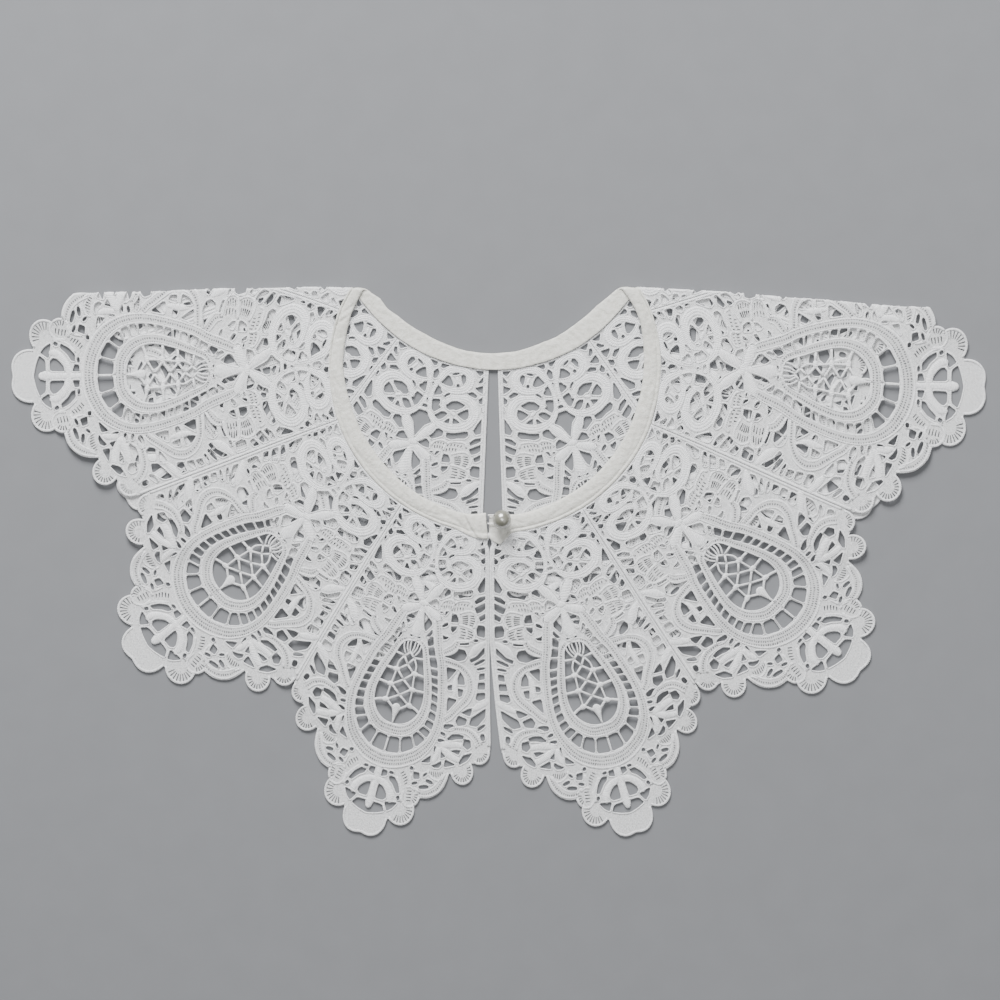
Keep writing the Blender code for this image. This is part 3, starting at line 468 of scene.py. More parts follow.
def curve_through(points, step=STEP):
    """Points a step apart on a smooth curve through these, and each one's place among them."""
    points = np.array(points, float)
    if len(points) == 2:
        count = max(1, round(np.linalg.norm(points[1] - points[0]) / STRAIGHT_STEP))
        share = np.linspace(0.0, 1.0, count + 1)
        return points[0] + (points[1] - points[0]) * share[:, None], share
    ends = np.vstack((2 * points[0] - points[1], points, 2 * points[-1] - points[-2]))
    knots = np.concatenate(([0.0], np.cumsum(
        np.sqrt(np.linalg.norm(np.diff(ends, axis=0), axis=1)))))
    share = np.linspace(0.0, 1.0, CURVE_SAMPLES, endpoint=False)
    fine, place = [], []
    for n in range(len(points) - 1):
        fine.append(catmull_rom(ends[n:n + 4], knots[n:n + 4], share))
        place.append(n + share)
    fine = np.vstack(fine + [points[-1:]])
    place = np.concatenate(place + [[len(points) - 1.0]])
    length = length_along(fine)
    at = np.linspace(0.0, length[-1], max(2, round(length[-1] / step)) + 1)
    return at_places(at, length, fine), np.interp(at, length, place)


def at_places(at, places, line):
    """The points at these places of a line whose own points have places."""
    return np.stack([np.interp(at, places, line[:, k]) for k in (0, 1)], axis=1)


def catmull_rom(points, knots, share):
    """Points between the middle two of four, by the centripetal rule."""
    at = (knots[1] + (knots[2] - knots[1]) * share)[:, None]
    for first, last in ((knots[:3], knots[1:]), (knots[:2], knots[2:]), (knots[1:2], knots[2:3])):
        points = [(last[k] - at) / (last[k] - first[k]) * points[k]
                  + (at - first[k]) / (last[k] - first[k]) * points[k + 1]
                  for k in range(len(first))]
    return points[0]


def normals_of(line, closed=False):
    """Unit vectors across a line, to its left."""
    if closed:
        along = np.roll(line, -1, axis=0) - np.roll(line, 1, axis=0)
    else:
        along = np.gradient(line, axis=0)
    along = along / np.linalg.norm(along, axis=1)[:, None]
    return np.stack((-along[:, 1], along[:, 0]), axis=1)


def arc(u, w, radius, start, end):
    """Points on a circle between two angles, which run from the u axis towards w."""
    turns = np.radians(np.linspace(start, end, max(3, round(abs(end - start) / ARC_STEP) + 1)))
    return np.stack((u + radius * np.cos(turns), w + radius * np.sin(turns)), axis=1)


def neck_arc(radius, turns):
    """Points round the neck centre, at angles from the petal's axis."""
    return np.stack((radius * np.sin(turns), radius * np.cos(turns)), axis=1)


def even(points, count):
    """This many stretches along a smooth curve through the points."""
    line, _ = curve_through(points, EVEN_STEP)
    return at_places(np.linspace(0, len(line) - 1, count + 1), range(len(line)), line)


def mirrored(line):
    """The same line on the other side of the axis."""
    return line * np.array((-1.0, 1.0))


def turned_left(loop):
    """The same closed outline, running anticlockwise."""
    after = np.roll(loop, -1, axis=0)
    doubled = np.sum(loop[:, 0] * after[:, 1] - after[:, 0] * loop[:, 1])
    return loop if doubled > 0 else loop[::-1]


def inset(points, offset):
    """A curve moved to its right, which is inwards along the hem."""
    line, _ = curve_through(points)
    return line + normals_of(line) * offset


def rounded(corners):
    """Round a closed outline's corners, and leave out points very close to the one before."""
    line = np.array(corners, float)
    after = np.roll(line, -1, axis=0)
    first = line + (after - line) * CORNER_CUT
    last = line + (after - line) * (1.0 - CORNER_CUT)
    middle = (last + np.roll(first, -1, axis=0)) / 2
    bulge = middle + (after - middle) * CORNER_BULGE
    points = np.stack((first, last, bulge), axis=1).reshape(-1, 2)
    kept = [points[0]]
    for point in points[1:]:
        if np.linalg.norm(point - kept[-1]) > LEAST_STRETCH:
            kept.append(point)
    if np.linalg.norm(kept[-1] - kept[0]) <= LEAST_STRETCH:
        kept.pop()
    return np.array(kept)


# ---- what is cut out of the ground ----

def oval(row):
    """The outline of an oval gap."""
    count = 8 if row.length < 3.0 else 10
    turns = 2 * np.pi * (np.arange(count) + 0.5) / count
    along, across = (np.sign(part) * np.abs(part) ** OVAL_POWER * size / 2
                     for part, size in ((np.cos(turns), row.length), (np.sin(turns), row.width)))
    turn = math.radians(row.turn)
    return np.stack((row.u + along * math.cos(turn) - across * math.sin(turn),
                     row.w + along * math.sin(turn) + across * math.cos(turn)), axis=1)


def slot(start, end):
    """The outline of a slit between two points, narrower where it starts."""
    along = (end - start) / np.linalg.norm(end - start)
    across = np.array((-along[1], along[0])) * SLIT_WIDTH / 2
    near = across * SLIT_TAPER
    return np.array((start + near, start - near, end - across, end + across))


def less_half_rungs(start, end):
    """The stretch from one rung's middle to the next, less half a rung at each end."""
    start, end = np.array(start), np.array(end)
    cut = (end - start) * (RUNG_WIDTH / 2 / np.linalg.norm(end - start))
    return start + cut, end - cut


def ladder_cells():
    """The gaps between the ladder's rungs."""
    cells = []
    for here, after in zip(RUNGS, RUNGS[1:]):
        inner = less_half_rungs(here[:2], after[:2])
        outer = less_half_rungs(here[2:], after[2:])
        cells.append(np.array((inner[0], outer[0], outer[1], inner[1])))
    return cells


def lobe_slits(row):
    """Slits that run in from the rim of a lobe."""
    centre = np.array((row.u, row.w))
    slits = []
    for turn in np.radians(np.linspace(row.first, row.last, row.slits)):
        toward = np.array((math.cos(turn), math.sin(turn)))
        slits.append(slot(centre + toward * row.radius * row.inner,
                          centre + toward * (row.radius - HEM_CORD + SLIT_LAP)))
    return slits


def fan_slits(row):
    """Slits of a fan, from its inner line to its outer one."""
    ends = zip(even(row.inner, row.slits - 1), even(row.outer, row.slits - 1))
    return [slot(start, end) for start, end in ends]


def half_gaps():
    """Gaps with a cord round them, and plain slits, where u is over 0."""
    corded = [oval(row) for row in OVALS]
    corded += [rounded(corners) for corners in (*GAPS, *ladder_cells())]
    slits = [outline for row in LOBES for outline in lobe_slits(row)]
    slits += [outline for row in FANS for outline in fan_slits(row)]
    return corded, slits


def net_gap():
    """The teardrop's inner gap, all the way round."""
    half = even(NET_EDGE, NET_EDGE_STRETCHES)
    return np.vstack((half, mirrored(half[-2:0:-1])))


def half_hem():
    """The hem from the bar to the tip, as a list of curves."""
    lobes = [arc(row.u, row.w, row.radius, row.start, row.end) for row in LOBES]
    crescent, tip = even(CRESCENT_HEM, CRESCENT_STRETCHES), even(TIP_HEM, TIP_STRETCHES)
    return lobes[:2] + [crescent] + lobes[2:] + [tip]


def notch(radius):
    """How far a front edge draws back where the two halves part under the binding."""
    return NOTCH_DEPTH * np.maximum(0.0, 1.0 - np.abs(radius - NOTCH_RADIUS) / NOTCH_REACH)


def bar_line(edge, offset, radii, notched):
    """Points along a bar, this far inside it; edge is the side of the petal that it is on."""
    inward = np.array((-edge * math.cos(HALF_TURN), math.sin(HALF_TURN)))
    along = np.array((edge * math.sin(HALF_TURN), math.cos(HALF_TURN)))
    drawn_in = notch(radii) if notched else 0.0 * radii
    return along * radii[:, None] + inward * (offset + drawn_in)[:, None]


def outline(notched):
    """The outline of one petal."""
    radii = np.linspace(NECK_RADIUS + NECK_EASE, OUTLINE_BAR_END, OUTLINE_BAR_POINTS)
    bar, front = (bar_line(1, SEAM_GAP / 2, radii, at_front) for at_front in (False, notched))
    hem = np.vstack(half_hem())
    right, left = np.vstack((bar, hem)), np.vstack((front, hem))
    turns = np.linspace(-HALF_TURN, HALF_TURN, OUTLINE_NECK_POINTS)[1:-1]
    return np.vstack((neck_arc(NECK_RADIUS + NECK_EASE, turns), right, mirrored(left[-2::-1])))


# ---- sections: where each point lies across a strip (0 to 1) and how high over its middle ----

CORD_FACES, FILL_FACES, SATIN_FACES, GROUND_FACES = 0, 1, 2, 3     # material slots
FLAT_SHADED = (FILL_FACES, GROUND_FACES)


def cord_section(width):
    """A round thread."""
    turns = 2 * np.pi * (np.arange(CORD_SIDES) + 0.5) / CORD_SIDES
    height = min(0.5 * width + 0.02, RIM_HEIGHT) / math.sin(math.pi / 3) * np.sin(turns)
    across = 0.5 - 0.5 * np.cos(turns) / math.cos(math.pi / 6)
    height[1], height[4] = height[0] * 1.12, height[3] * 1.12
    return across, np.clip(height, -RIM_HEIGHT, RIM_HEIGHT), [CORD_FACES] * CORD_SIDES


def tape_section(width):
    """A stitched tape between two raised edges."""
    rim = min(RIM, 0.3 * width) / width
    across = [0.0, rim * 0.25, rim * 0.75, rim, 1 - rim, 1 - rim * 0.75, 1 - rim * 0.25, 1.0]
    top = [0.0, RIM_HEIGHT, RIM_HEIGHT, FILL_HEIGHT, FILL_HEIGHT, RIM_HEIGHT, RIM_HEIGHT, 0.0]
    kinds = [CORD_FACES] * 3 + [FILL_FACES] + [CORD_FACES] * 3
    return round_trip(across, top, kinds)


def satin_section(width):
    """A leaf of close stitches, highest along its middle."""
    rise = min(SATIN_HEIGHT, 0.36 * width)
    across = [0.0, 0.1, 0.34, 0.66, 0.9, 1.0]
    top = [0.0, 0.66 * rise, rise, rise, 0.66 * rise, 0.0]
    return round_trip(across, top, [SATIN_FACES] * 5)


def braid_section(width):
    """Three flat cords side by side."""
    rise = min(SATIN_HEIGHT, 0.4 * width)
    across = [0.0, 0.05, 0.17, 0.3, 0.34, 0.38, 0.5, 0.62, 0.66, 0.7, 0.83, 0.95, 1.0]
    top = [0.0, 0.7, 0.96, 0.86, 0.62, 0.88, 1.0, 0.88, 0.62, 0.86, 0.96, 0.7, 0.0]
    return round_trip(across, [share * rise for share in top], [SATIN_FACES] * 12)


def round_trip(across, top, kinds):
    """Close a section by repeating its top underneath."""
    full = across + across[-2:0:-1]
    height = top + [-rise for rise in top[-2:0:-1]]
    return np.array(full), np.array(height), kinds + kinds[::-1]


SECTIONS = {CORD: cord_section, TAPE: tape_section, SATIN: satin_section, BRAID: braid_section}


# ---- solids, gathered as plain lists of points and faces ----

def tube_faces(rows, ring, closed=False, first=0):
    """The faces between a tube's rings of points, and its two ends unless it is closed."""
    here = np.arange(rows if closed else rows - 1)[:, None] * ring
    after = (here + ring) % (rows * ring)
    column = np.arange(ring)[None, :]
    turned = (column + 1) % ring
    sides = np.stack((here + column, here + turned, after + turned, after + column), axis=2)
    faces = (first + sides).reshape(-1, 4).tolist()
    if not closed:
        last = first + (rows - 1) * ring
        faces += [list(range(first, first + ring))[::-1], list(range(last, last + ring))]
    return faces


class Cloth:
    """Points in u, w and rise, with the stitch direction, and the faces between them."""

    def __init__(self):
        self.points, self.stitch, self.faces, self.kinds = [], [], [], []
        self.count = 0

    def add(self, points, stitch, faces, kinds):
        """Take in a solid whose faces count its own points."""
        self.points.append(np.asarray(points, float))
        self.stitch.append(np.asarray(stitch, float))
        self.faces.extend([[self.count + n for n in face] for face in faces])
        self.kinds.extend(kinds)
        self.count += len(points)

    def loft(self, left, right, section, width, closed=False):
        """Join two edge lines by a section, as one closed solid."""
        span = np.linalg.norm(right - left, axis=1)
        along = length_along((left + right) / 2)
        across, height, kinds = section(width)
        rows, ring = len(left), len(across)
        flat = left[:, None] + (right - left)[:, None] * across[None, :, None]
        taper = np.minimum(1.0, LEAST_RISE + (1.0 - LEAST_RISE) * span / max(width, 0.1))
        rise = height[None, :] * taper[:, None]
        place = np.stack((np.broadcast_to(along[:, None], (rows, ring)),
                          (across[None, :] - 0.5) * span[:, None]), axis=2)
        kinds = kinds * rows if closed else kinds * (rows - 1) + kinds[:1] * 2
        self.add(np.concatenate((flat, rise[:, :, None]), axis=2).reshape(-1, 3),
                 place.reshape(-1, 2), tube_faces(rows, ring, closed), kinds)

    def strip(self, row, twin=1):
        """One strip of the drawing."""
        line, place = curve_through(row.points)
        widths = np.atleast_1d(row.widths)
        width = np.interp(place / place[-1], np.linspace(0, 1, len(widths)), widths)
        usual = float(np.median(width))
        if row.section in (SATIN, BRAID):
            line, width = round_ends(line, width)
        offset = normals_of(line) * width[:, None] / 2 * twin
        side = np.array((twin, 1.0))
        self.loft((line + offset) * side, (line - offset) * side, SECTIONS[row.section], usual)

    def gap_cord(self, edge, twin=1):
        """The cord round a gap."""
        width = min(GAP_CORD, LEAST_GAP_CORD + GAP_CORD_SHARE * np.ptp(edge, axis=0).min())
        edge = turned_left(edge * np.array((twin, 1.0)))
        out = -normals_of(edge, closed=True)
        self.loft(edge - out * GAP_LAP, edge + out * (width - GAP_LAP), gap_section, width,
                  closed=True)


def gap_section(width):
    """The cord round a gap: three points over the cloth and three under it."""
    across = np.array((0.0, 0.25, 0.75, 1.0, 0.75, 0.25))
    rise = np.array((0.0, 1.0, 1.0, 0.0, -1.0, -1.0)) * GAP_CORD_HEIGHT
    return across, rise, [CORD_FACES] * 6


def round_ends(line, width):
    """Close a leaf with round ends that reach a little past its line."""
    caps = []
    for end, inward in ((0, 1), (-1, -2)):
        away = line[end] - line[inward]
        away /= np.linalg.norm(away)
        caps.append([(line[end] + away * width[end] * 0.5 * math.sin(turn),
                      width[end] * math.cos(turn)) for turn in END_TURNS])
    points, widths = zip(*caps[0][::-1], *zip(line, width), *caps[1])
    return np.array(points), np.array(widths)


def both_sides(row):
    """A strip that ends on the axis, carried on to its mirror image."""
    points, widths = np.array(row.points), row.widths
    if points[0, 0] == 0.0:
        points, widths = points[::-1], widths[::-1]
    return Strip(row.section, widths + widths[-2::-1],
                 np.vstack((points, mirrored(points)[-2::-1])))


def edge_strips(side, petal):
    """The cords along a petal's two bars and its neck edge."""
    shared = ((BAR_OFFSET,), BAR_CORD)
    edges = ((-1, *(FRONT_EDGE[side] if petal == 0 else shared)),
             (1, *(BACK_EDGE if petal == PETALS - 1 else shared)))
    strips = [Strip(CORD, width, bar_line(edge, offset, BAR_RADII, petal == 0 and edge < 0))
              for edge, offsets, width in edges for offset in offsets]
    turns = np.linspace(-HALF_TURN, HALF_TURN, NECK_CORD_POINTS)
    neck = neck_arc(NECK_RADIUS + NECK_CORD / 2 + NECK_EASE, turns)
    return strips + [Strip(CORD, NECK_CORD, neck)]


def petal_drawing(side, petal):
    """The whole drawing of one petal: its cloth, its outline and its gaps."""
    cloth = Cloth()
    corded, slits = half_gaps()
    holes = [rounded(corners) for corners in AXIS_GAPS] + [net_gap()]
    for edge in holes:
        cloth.gap_cord(edge)
    rims = [arc(row.u, row.w, row.radius - HEM_CORD / 2, row.start - RIM_OVERRUN,
                row.end + RIM_OVERRUN) for row in LOBES]
    rims.append(inset(CRESCENT_HEM, HEM_CORD / 2))
    for twin in (1, -1):
        for edge in corded:
            cloth.gap_cord(edge, twin)
        for row in NET + RELIEF:
            cloth.strip(row, twin)
        for rim in rims:
            cloth.strip(Strip(CORD, HEM_CORD, rim), twin)
    holes += corded + slits + [mirrored(edge) for edge in corded + slits]
    for row in ON_AXIS + tuple(both_sides(row) for row in BANDS):
        cloth.strip(row)
    tip = np.vstack((TIP_HEM, mirrored(np.array(TIP_HEM))[-2::-1]))
    cloth.strip(Strip(CORD, HEM_CORD, inset(tip, HEM_CORD / 2)))
    for row in edge_strips(side, petal):
        cloth.strip(row)
    return cloth, outline(petal == 0), holes


# ---- from a petal to the table, as in the CAD part but for whole arrays ----

def bar_angle(bar, radius):
    """The angle of a bar at these radii."""
    low = (radius - NECK_RADIUS) / (MIDDLE_RADIUS - NECK_RADIUS)
    high = (radius - MIDDLE_RADIUS) / (HEM_RADIUS - MIDDLE_RADIUS)
    return np.where(radius < MIDDLE_RADIUS,
                    bar.neck + (bar.middle - bar.neck) * np.maximum(low, 0.0),
                    bar.middle + (bar.hem - bar.middle) * np.minimum(high, 1.0))


def seam_radius(angle):
    """Radius of the neck seam at angles from the centre front."""
    turned = np.minimum(np.abs(angle), 360.0 - np.abs(angle)) - SEAM_TURN_START
    share = smooth_step(turned / (SEAM_TURN_END - SEAM_TURN_START))
    return NECK_RADIUS + (BACK_NECK_RADIUS - NECK_RADIUS) * share


def on_ring(u, w, half, petal):
    """Place points of a petal on the opened-out ring."""
    radius = np.hypot(u, w)
    across = np.degrees(np.arctan2(u, w)) / (PETAL_DEG / 2)
    bulge = np.cos(np.clip(np.abs(across), 0.0, 1.0) * np.pi / 2)
    start, end, shape = half.bars[petal], half.bars[petal + 1], half.petals[petal]
    lean = shape.lean * bulge * smooth_step((radius - LEAN_START) / (LEAN_END - LEAN_START))
    first, last = bar_angle(start, radius), bar_angle(end, radius)
    angle = (first + last) / 2 + across * (last - first) / 2 + np.degrees(lean / radius)
    side = np.where(across > 0.0, shape.far, shape.near)
    shift = side + (shape.axis - side) * bulge ** 2
    share = smooth_step((radius - SHIFT_START) / (SHIFT_END - SHIFT_START))
    out = radius + shape.neck + (shift - shape.neck) * share
    near_neck = 1.0 - smooth_step((radius - NECK_RADIUS) / NECK_FIT)
    out = out + (seam_radius(angle) + SEAM_GAP - NECK_RADIUS - shape.neck) * near_neck
    turn = np.radians(angle)
    return half.side * np.sin(turn) * out, -np.cos(turn) * out


def roll_radius(thickness):
    """Radius of a layer's middle round the shoulder fold."""
    return SEAM_GAP / 2 + thickness / 2


def crease_height(thickness):
    """How far above the neck centre the shoulder roll starts."""
    return (BACK_CENTRE - math.pi * roll_radius(thickness)) / 2


def back_cover(x, y):
    """1 where the back lies under the front, falling to 0 where the front reaches the table."""
    angle = np.degrees(np.arctan2(np.abs(x), BACK_CENTRE - y))
    in_petal = (angle % PETAL_DEG) / PETAL_DEG
    middle = (TIP_RADIUS + HEM_RADIUS) / 2
    swing = (TIP_RADIUS - HEM_RADIUS) / 2
    hem = middle + swing * np.cos(2 * np.pi * (in_petal - 0.5)) + COVER_MARGIN
    return 1.0 - smooth_step((np.hypot(x, BACK_CENTRE - y) - hem) / DROP_LENGTH)


def front_height(x, y, thickness):
    """Underside of the front layer above the table."""
    crease = crease_height(thickness)
    near_fold = 1.0 - smooth_step((crease - y - FOLD_MARGIN) / DROP_LENGTH)
    extra = (thickness - LACE_THICKNESS) * smooth_step((y - OVERLAP_TOP) / OVERLAP_RAMP + 1.0)
    return (LACE_THICKNESS + SEAM_GAP) * np.maximum(back_cover(x, y), near_fold) + extra


def folded(x, v, rise, thickness):
    """Fold points of the opened-out ring, droop the shoulders and move them to the part's frame."""
    crease, roll = crease_height(thickness), roll_radius(thickness)
    turn = (v - crease) / roll
    bend = np.clip(turn, 0.0, np.pi)
    radius = SEAM_GAP / 2 + rise
    y = np.where(turn <= 0.0, v, np.where(turn < np.pi, crease + radius * np.sin(bend),
                                          BACK_CENTRE - v))
    z = np.where(turn <= 0.0, front_height(x, v, thickness) + rise,
                 np.where(turn < np.pi, thickness + SEAM_GAP / 2 + radius * np.cos(bend),
                          thickness - rise))
    near_fold = smooth_step(1.0 + (y - crease) / WAVE_FADE)
    y = y + WAVE_HEIGHT * near_fold * (np.sin(0.043 * x + 0.6) + 0.5 * np.sin(0.127 * x)) / 1.5
    for side, row in DROOPS.items():
        out = smooth_step((side * x - row.start) / row.reach)
        fade = smooth_step((y - DROOP_FADE_LOW) / (DROOP_FADE_HIGH - DROOP_FADE_LOW))
        y = y - row.drop * out * fade
    return np.stack((x - BOX_CENTRE_X, y - BOX_CENTRE_Y, z), axis=1) * MM


# ---- meshes ----

def ground_solid(cloth, edge, holes):
    """Add the petal's ground: a flat cloth with all its gaps cut out."""
    loops = [turned_left(loop) for loop in [edge] + holes]
    inside = grid_points(loops)
    points = [Vector(point) for loop in loops for point in loop] + [Vector(p) for p in inside]
    faces, first = [], 0
    for loop in loops:
        faces.append(list(range(first, first + len(loop))))
        first += len(loop)
    flat, _, triangles, _, _, owners = delaunay_2d_cdt(points, [], faces, 1, 1e-4, True)
    kept = [tri for tri, owner in zip(triangles, owners) if list(owner) == [0]]
    used = sorted({corner for tri in kept for corner in tri})
    place = {corner: n for n, corner in enumerate(used)}
    under = len(used)
    top = [[place[corner] for corner in tri] for tri in kept]
    faces = top + [[n + under for n in reversed(tri)] for tri in top]
    sides = {(tri[n], tri[(n + 1) % 3]) for tri in top for n in range(3)}
    for start, end in sorted(sides):
        if (end, start) not in sides:
            faces.append([start + under, end + under, end, start])
    spots = np.array([flat[corner][:] for corner in used])
    over = np.column_stack((spots, np.full(under, GROUND_HEIGHT)))
    cloth.add(np.vstack((over, over * (1.0, 1.0, -1.0))), np.vstack((spots, spots)), faces,
              [GROUND_FACES] * len(faces))


def grid_points(loops):
    """Points spread over a petal, clear of every edge."""
    starts = np.vstack(loops)
    ends = np.vstack([np.roll(loop, -1, axis=0) for loop in loops])
    low, high = starts.min(axis=0), starts.max(axis=0)
    across, up = np.meshgrid(np.arange(low[0], high[0], GRID), np.arange(low[1], high[1], GRID))
    grid = np.stack((across.ravel(), up.ravel()), axis=1)
    edges = ends - starts
    along = ((grid[:, None] - starts) * edges).sum(axis=2) / (edges ** 2).sum(axis=1)
    nearest = starts + np.clip(along, 0.0, 1.0)[:, :, None] * edges
    distance = np.linalg.norm(grid[:, None] - nearest, axis=2).min(axis=1)
    return grid[distance > GRID / 3]


def make_mesh(name, points, stitch, faces, kinds=None):
    """A mesh with its stitch direction kept on each point."""
    kinds = kinds or [0] * len(faces)
    mesh = bpy.data.meshes.new(name)
    mesh.from_pydata(points.tolist(), [], faces)
    mesh.attributes.new("thread", "FLOAT_VECTOR", "POINT")
    along = np.column_stack((stitch, np.zeros(len(stitch))))
    mesh.attributes["thread"].data.foreach_set("vector", along.ravel())
    mesh.polygons.foreach_set("material_index", kinds)
    mesh.polygons.foreach_set("use_smooth", [kind not in FLAT_SHADED for kind in kinds])
    mesh.update()
    return mesh


def points_of(mesh):
    """A mesh's points as an array."""
    points = np.empty(len(mesh.vertices) * 3)
    mesh.vertices.foreach_get("co", points)
    return points.reshape(-1, 3)


def lay_down(mesh, thickness):
    """Fold a mesh of the opened-out ring along the shoulders and lay it on the table."""
    heights = points_of(mesh)[:, 1]
    crease, roll = crease_height(thickness), roll_radius(thickness)
    if heights.min() < crease < heights.max():
        shape = bmesh.new()
        shape.from_mesh(mesh)
        for height in np.linspace(crease, crease + math.pi * roll, FOLD_FACETS + 1):
            parts = shape.verts[:] + shape.edges[:] + shape.faces[:]
            bmesh.ops.bisect_plane(shape, geom=parts, dist=CUT_SNAP, plane_co=(0.0, height, 0.0),
                                   plane_no=(0.0, 1.0, 0.0))
        shape.to_mesh(mesh)
        shape.free()
    mesh.vertices.foreach_set("co", folded(*points_of(mesh).T, thickness).ravel())
    mesh.update()


def add_piece(mesh, materials, node):
    """Make a piece of a mesh, hang it on the root, and hide the CAD node that it stands for."""
    piece = bpy.data.objects.new(mesh.name, mesh)
    bpy.context.scene.collection.objects.link(piece)
    for material in materials:
        mesh.materials.append(material)
    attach(piece, "root")
    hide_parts(node)
    return piece


def cloth_mesh(name, cloth, half, petal):
    """A mesh of a drawing, laid on the table as one of the collar's petals."""
    points = np.vstack(cloth.points)
    x, v = on_ring(points[:, 0], points[:, 1], half, petal)
    laid = np.column_stack((x, v, points[:, 2] + LACE_THICKNESS / 2))
    faces = cloth.faces if half.side < 0 else [face[::-1] for face in cloth.faces]
    mesh = make_mesh(name, laid, np.vstack(cloth.stitch), faces, cloth.kinds)
    lay_down(mesh, LACE_THICKNESS)
    return mesh


def add_petal(half, petal, materials):
    """One petal of the lace, on the table: its ground, and the cords and leaves on it."""
    cords, edge, holes = petal_drawing(half.side, petal)
    ground = Cloth()
    ground_solid(ground, edge, holes)
    name = f"petal_{half.name}_{petal + 1}"
    sheet, relief = (add_piece(cloth_mesh(title, cloth, half, petal), materials, half.node)
                     for title, cloth in ((name, ground), (name + "_cords", cords)))


# ---- materials ----

class Paint:
    """A material, with constant values on its shader and the nodes that feed it."""

    def __init__(self, name, color, roughness, sheen=0.0):
        self.material = bpy.data.materials.new(name)
        self.material.use_nodes = True
        self.tree = self.material.node_tree
        self.shader = self.tree.nodes["Principled BSDF"]
        self.hold({"Base Color": (*color, 1.0), "Roughness": roughness, "Sheen Weight": sheen,
                   "Sheen Roughness": 0.4})

    def hold(self, values):
        """Set values on the shader's own sockets."""
        for name, value in values.items():
            self.shader.inputs[name].default_value = value

    def node(self, kind, **links):
        """A node, with each of these inputs set to a number or linked to an output."""
        node = self.tree.nodes.new("ShaderNode" + kind)
        for name, value in links.items():
            self.feed(node.inputs[name], value)
        return node

    def feed(self, socket, value):
        """Set a socket to a number, or link it to another node's output."""
        if isinstance(value, (int, float)):
            socket.default_value = value
        else:
            self.tree.links.new(value, socket)

    def math(self, operation, first, second=0.0):
        """A math node's output; each input is a number or another node's output."""
        node = self.node("Math")
        node.operation = operation
        self.feed(node.inputs[0], first)
        self.feed(node.inputs[1], second)
        return node.outputs[0]

    def plus(self, first, second):
        """A sum."""
        return self.math("ADD", first, second)

    def times(self, first, second):
        """A product."""
        return self.math("MULTIPLY", first, second)

    def stripes(self, value, pitch):
        """Bands between 0 and 1 along a value in millimetres."""
        wave = self.math("SINE", self.times(value, 2 * math.pi / pitch))
        return self.plus(self.times(wave, 0.5), 0.5)

    def thread(self):
        """The distances along and across the stitches, in millimetres."""
        source = self.node("Attribute")
        source.attribute_name = "thread"
        parts = self.node("SeparateXYZ", Vector=source.outputs["Vector"])
        return parts.outputs[0], parts.outputs[1]

    def noise(self, scale):
        """Noise over the object, at this many cells a metre."""
        place = self.node("TexCoord").outputs["Object"]
        return self.node("TexNoise", Scale=scale, Detail=3.0, Vector=place).outputs["Fac"]

    def color(self, shade, *stops):
        """Colour the surface by a value, between two stops of a place and a colour."""
        node = self.node("ValToRGB", Fac=shade)
        for element, (place, color) in zip(node.color_ramp.elements, stops):
            element.position, element.color = place, (*color, 1.0)
        self.tree.links.new(node.outputs[0], self.shader.inputs["Base Color"])

    def bump(self, height, distance):
        """Raise the surface by a height between 0 and 1 times a distance in millimetres."""
        node = self.node("Bump", Distance=distance * MM, Height=height)
        self.tree.links.new(node.outputs[0], self.shader.inputs["Normal"])


def stitched(paint, grain, slant, shift, pitch, stitch_share, grain_share):
    """Slanting stitches, shifted by the grain: stitches, the grain, and a shade of both."""
    along, across = paint.thread()
    uneven = paint.noise(grain)
    slanted = paint.plus(along, paint.times(across, slant))
    stitches = paint.stripes(paint.plus(slanted, paint.times(uneven, shift)), pitch)
    shade = paint.plus(paint.times(stitches, stitch_share), paint.times(uneven, grain_share))
    return stitches, uneven, shade


def cord_material():
    """White twisted cotton cord."""
    paint = Paint("lace_cord", (0.84, 0.85, 0.86), 0.62, 0.15)
    twist, uneven, shade = stitched(paint, grain=1100.0, slant=1.0, shift=0.0, pitch=0.85,
                                    stitch_share=0.22, grain_share=0.9)
    paint.color(shade, (0.3, (0.60, 0.61, 0.63)), (0.72, (0.92, 0.925, 0.93)))
    paint.bump(paint.plus(twist, uneven), 0.15)
    return paint.material


def fill_material():
    """Rows of fine stitches, greyer than the cords, with painted shade in the small places between them.
    """
    paint = Paint("lace_fill", (0.52, 0.525, 0.53), 0.75, 0.1)
    along, across = paint.thread()
    shifted = paint.times(paint.noise(700.0), 1.2)
    rows = paint.stripes(paint.plus(along, shifted), 1.15)
    threads = paint.stripes(paint.plus(across, shifted), 1.7)
    holes = paint.times(rows, threads)
    # Painted shade: the small places between the stitches, where the bump dips, are coloured nearly
    # black.
    painted_hole_shade = paint.times(holes, paint.times(paint.noise(420.0), 2.0))
    paint.color(painted_hole_shade, (0.28, (0.58, 0.585, 0.59)), (0.72, (0.11, 0.112, 0.12)))
    paint.bump(paint.math("SUBTRACT", 1.0, holes), 0.16)
    return paint.material


def satin_stitch_material():
    """Close parallel stitches that fill a leaf."""
    paint = Paint("lace_satin_stitch", (0.84, 0.85, 0.86), 0.5, 0.2)
    stitches, _, shade = stitched(paint, grain=900.0, slant=0.3, shift=1.0, pitch=0.8,
                                  stitch_share=0.25, grain_share=0.85)
    paint.color(shade, (0.3, (0.62, 0.63, 0.65)), (0.75, (0.92, 0.925, 0.93)))
    paint.bump(stitches, 0.12)
    return paint.material


def ground_material():
    """The plain close stitches under the cords."""
    paint = Paint("lace_ground", (0.6, 0.605, 0.61), 0.7, 0.1)
    _, _, shade = stitched(paint, grain=1300.0, slant=1.0, shift=1.0, pitch=0.8,
                           stitch_share=0.35, grain_share=0.8)
    paint.color(shade, (0.3, (0.38, 0.387, 0.395)), (0.75, (0.80, 0.805, 0.81)))
    paint.bump(shade, 0.16)
    return paint.material


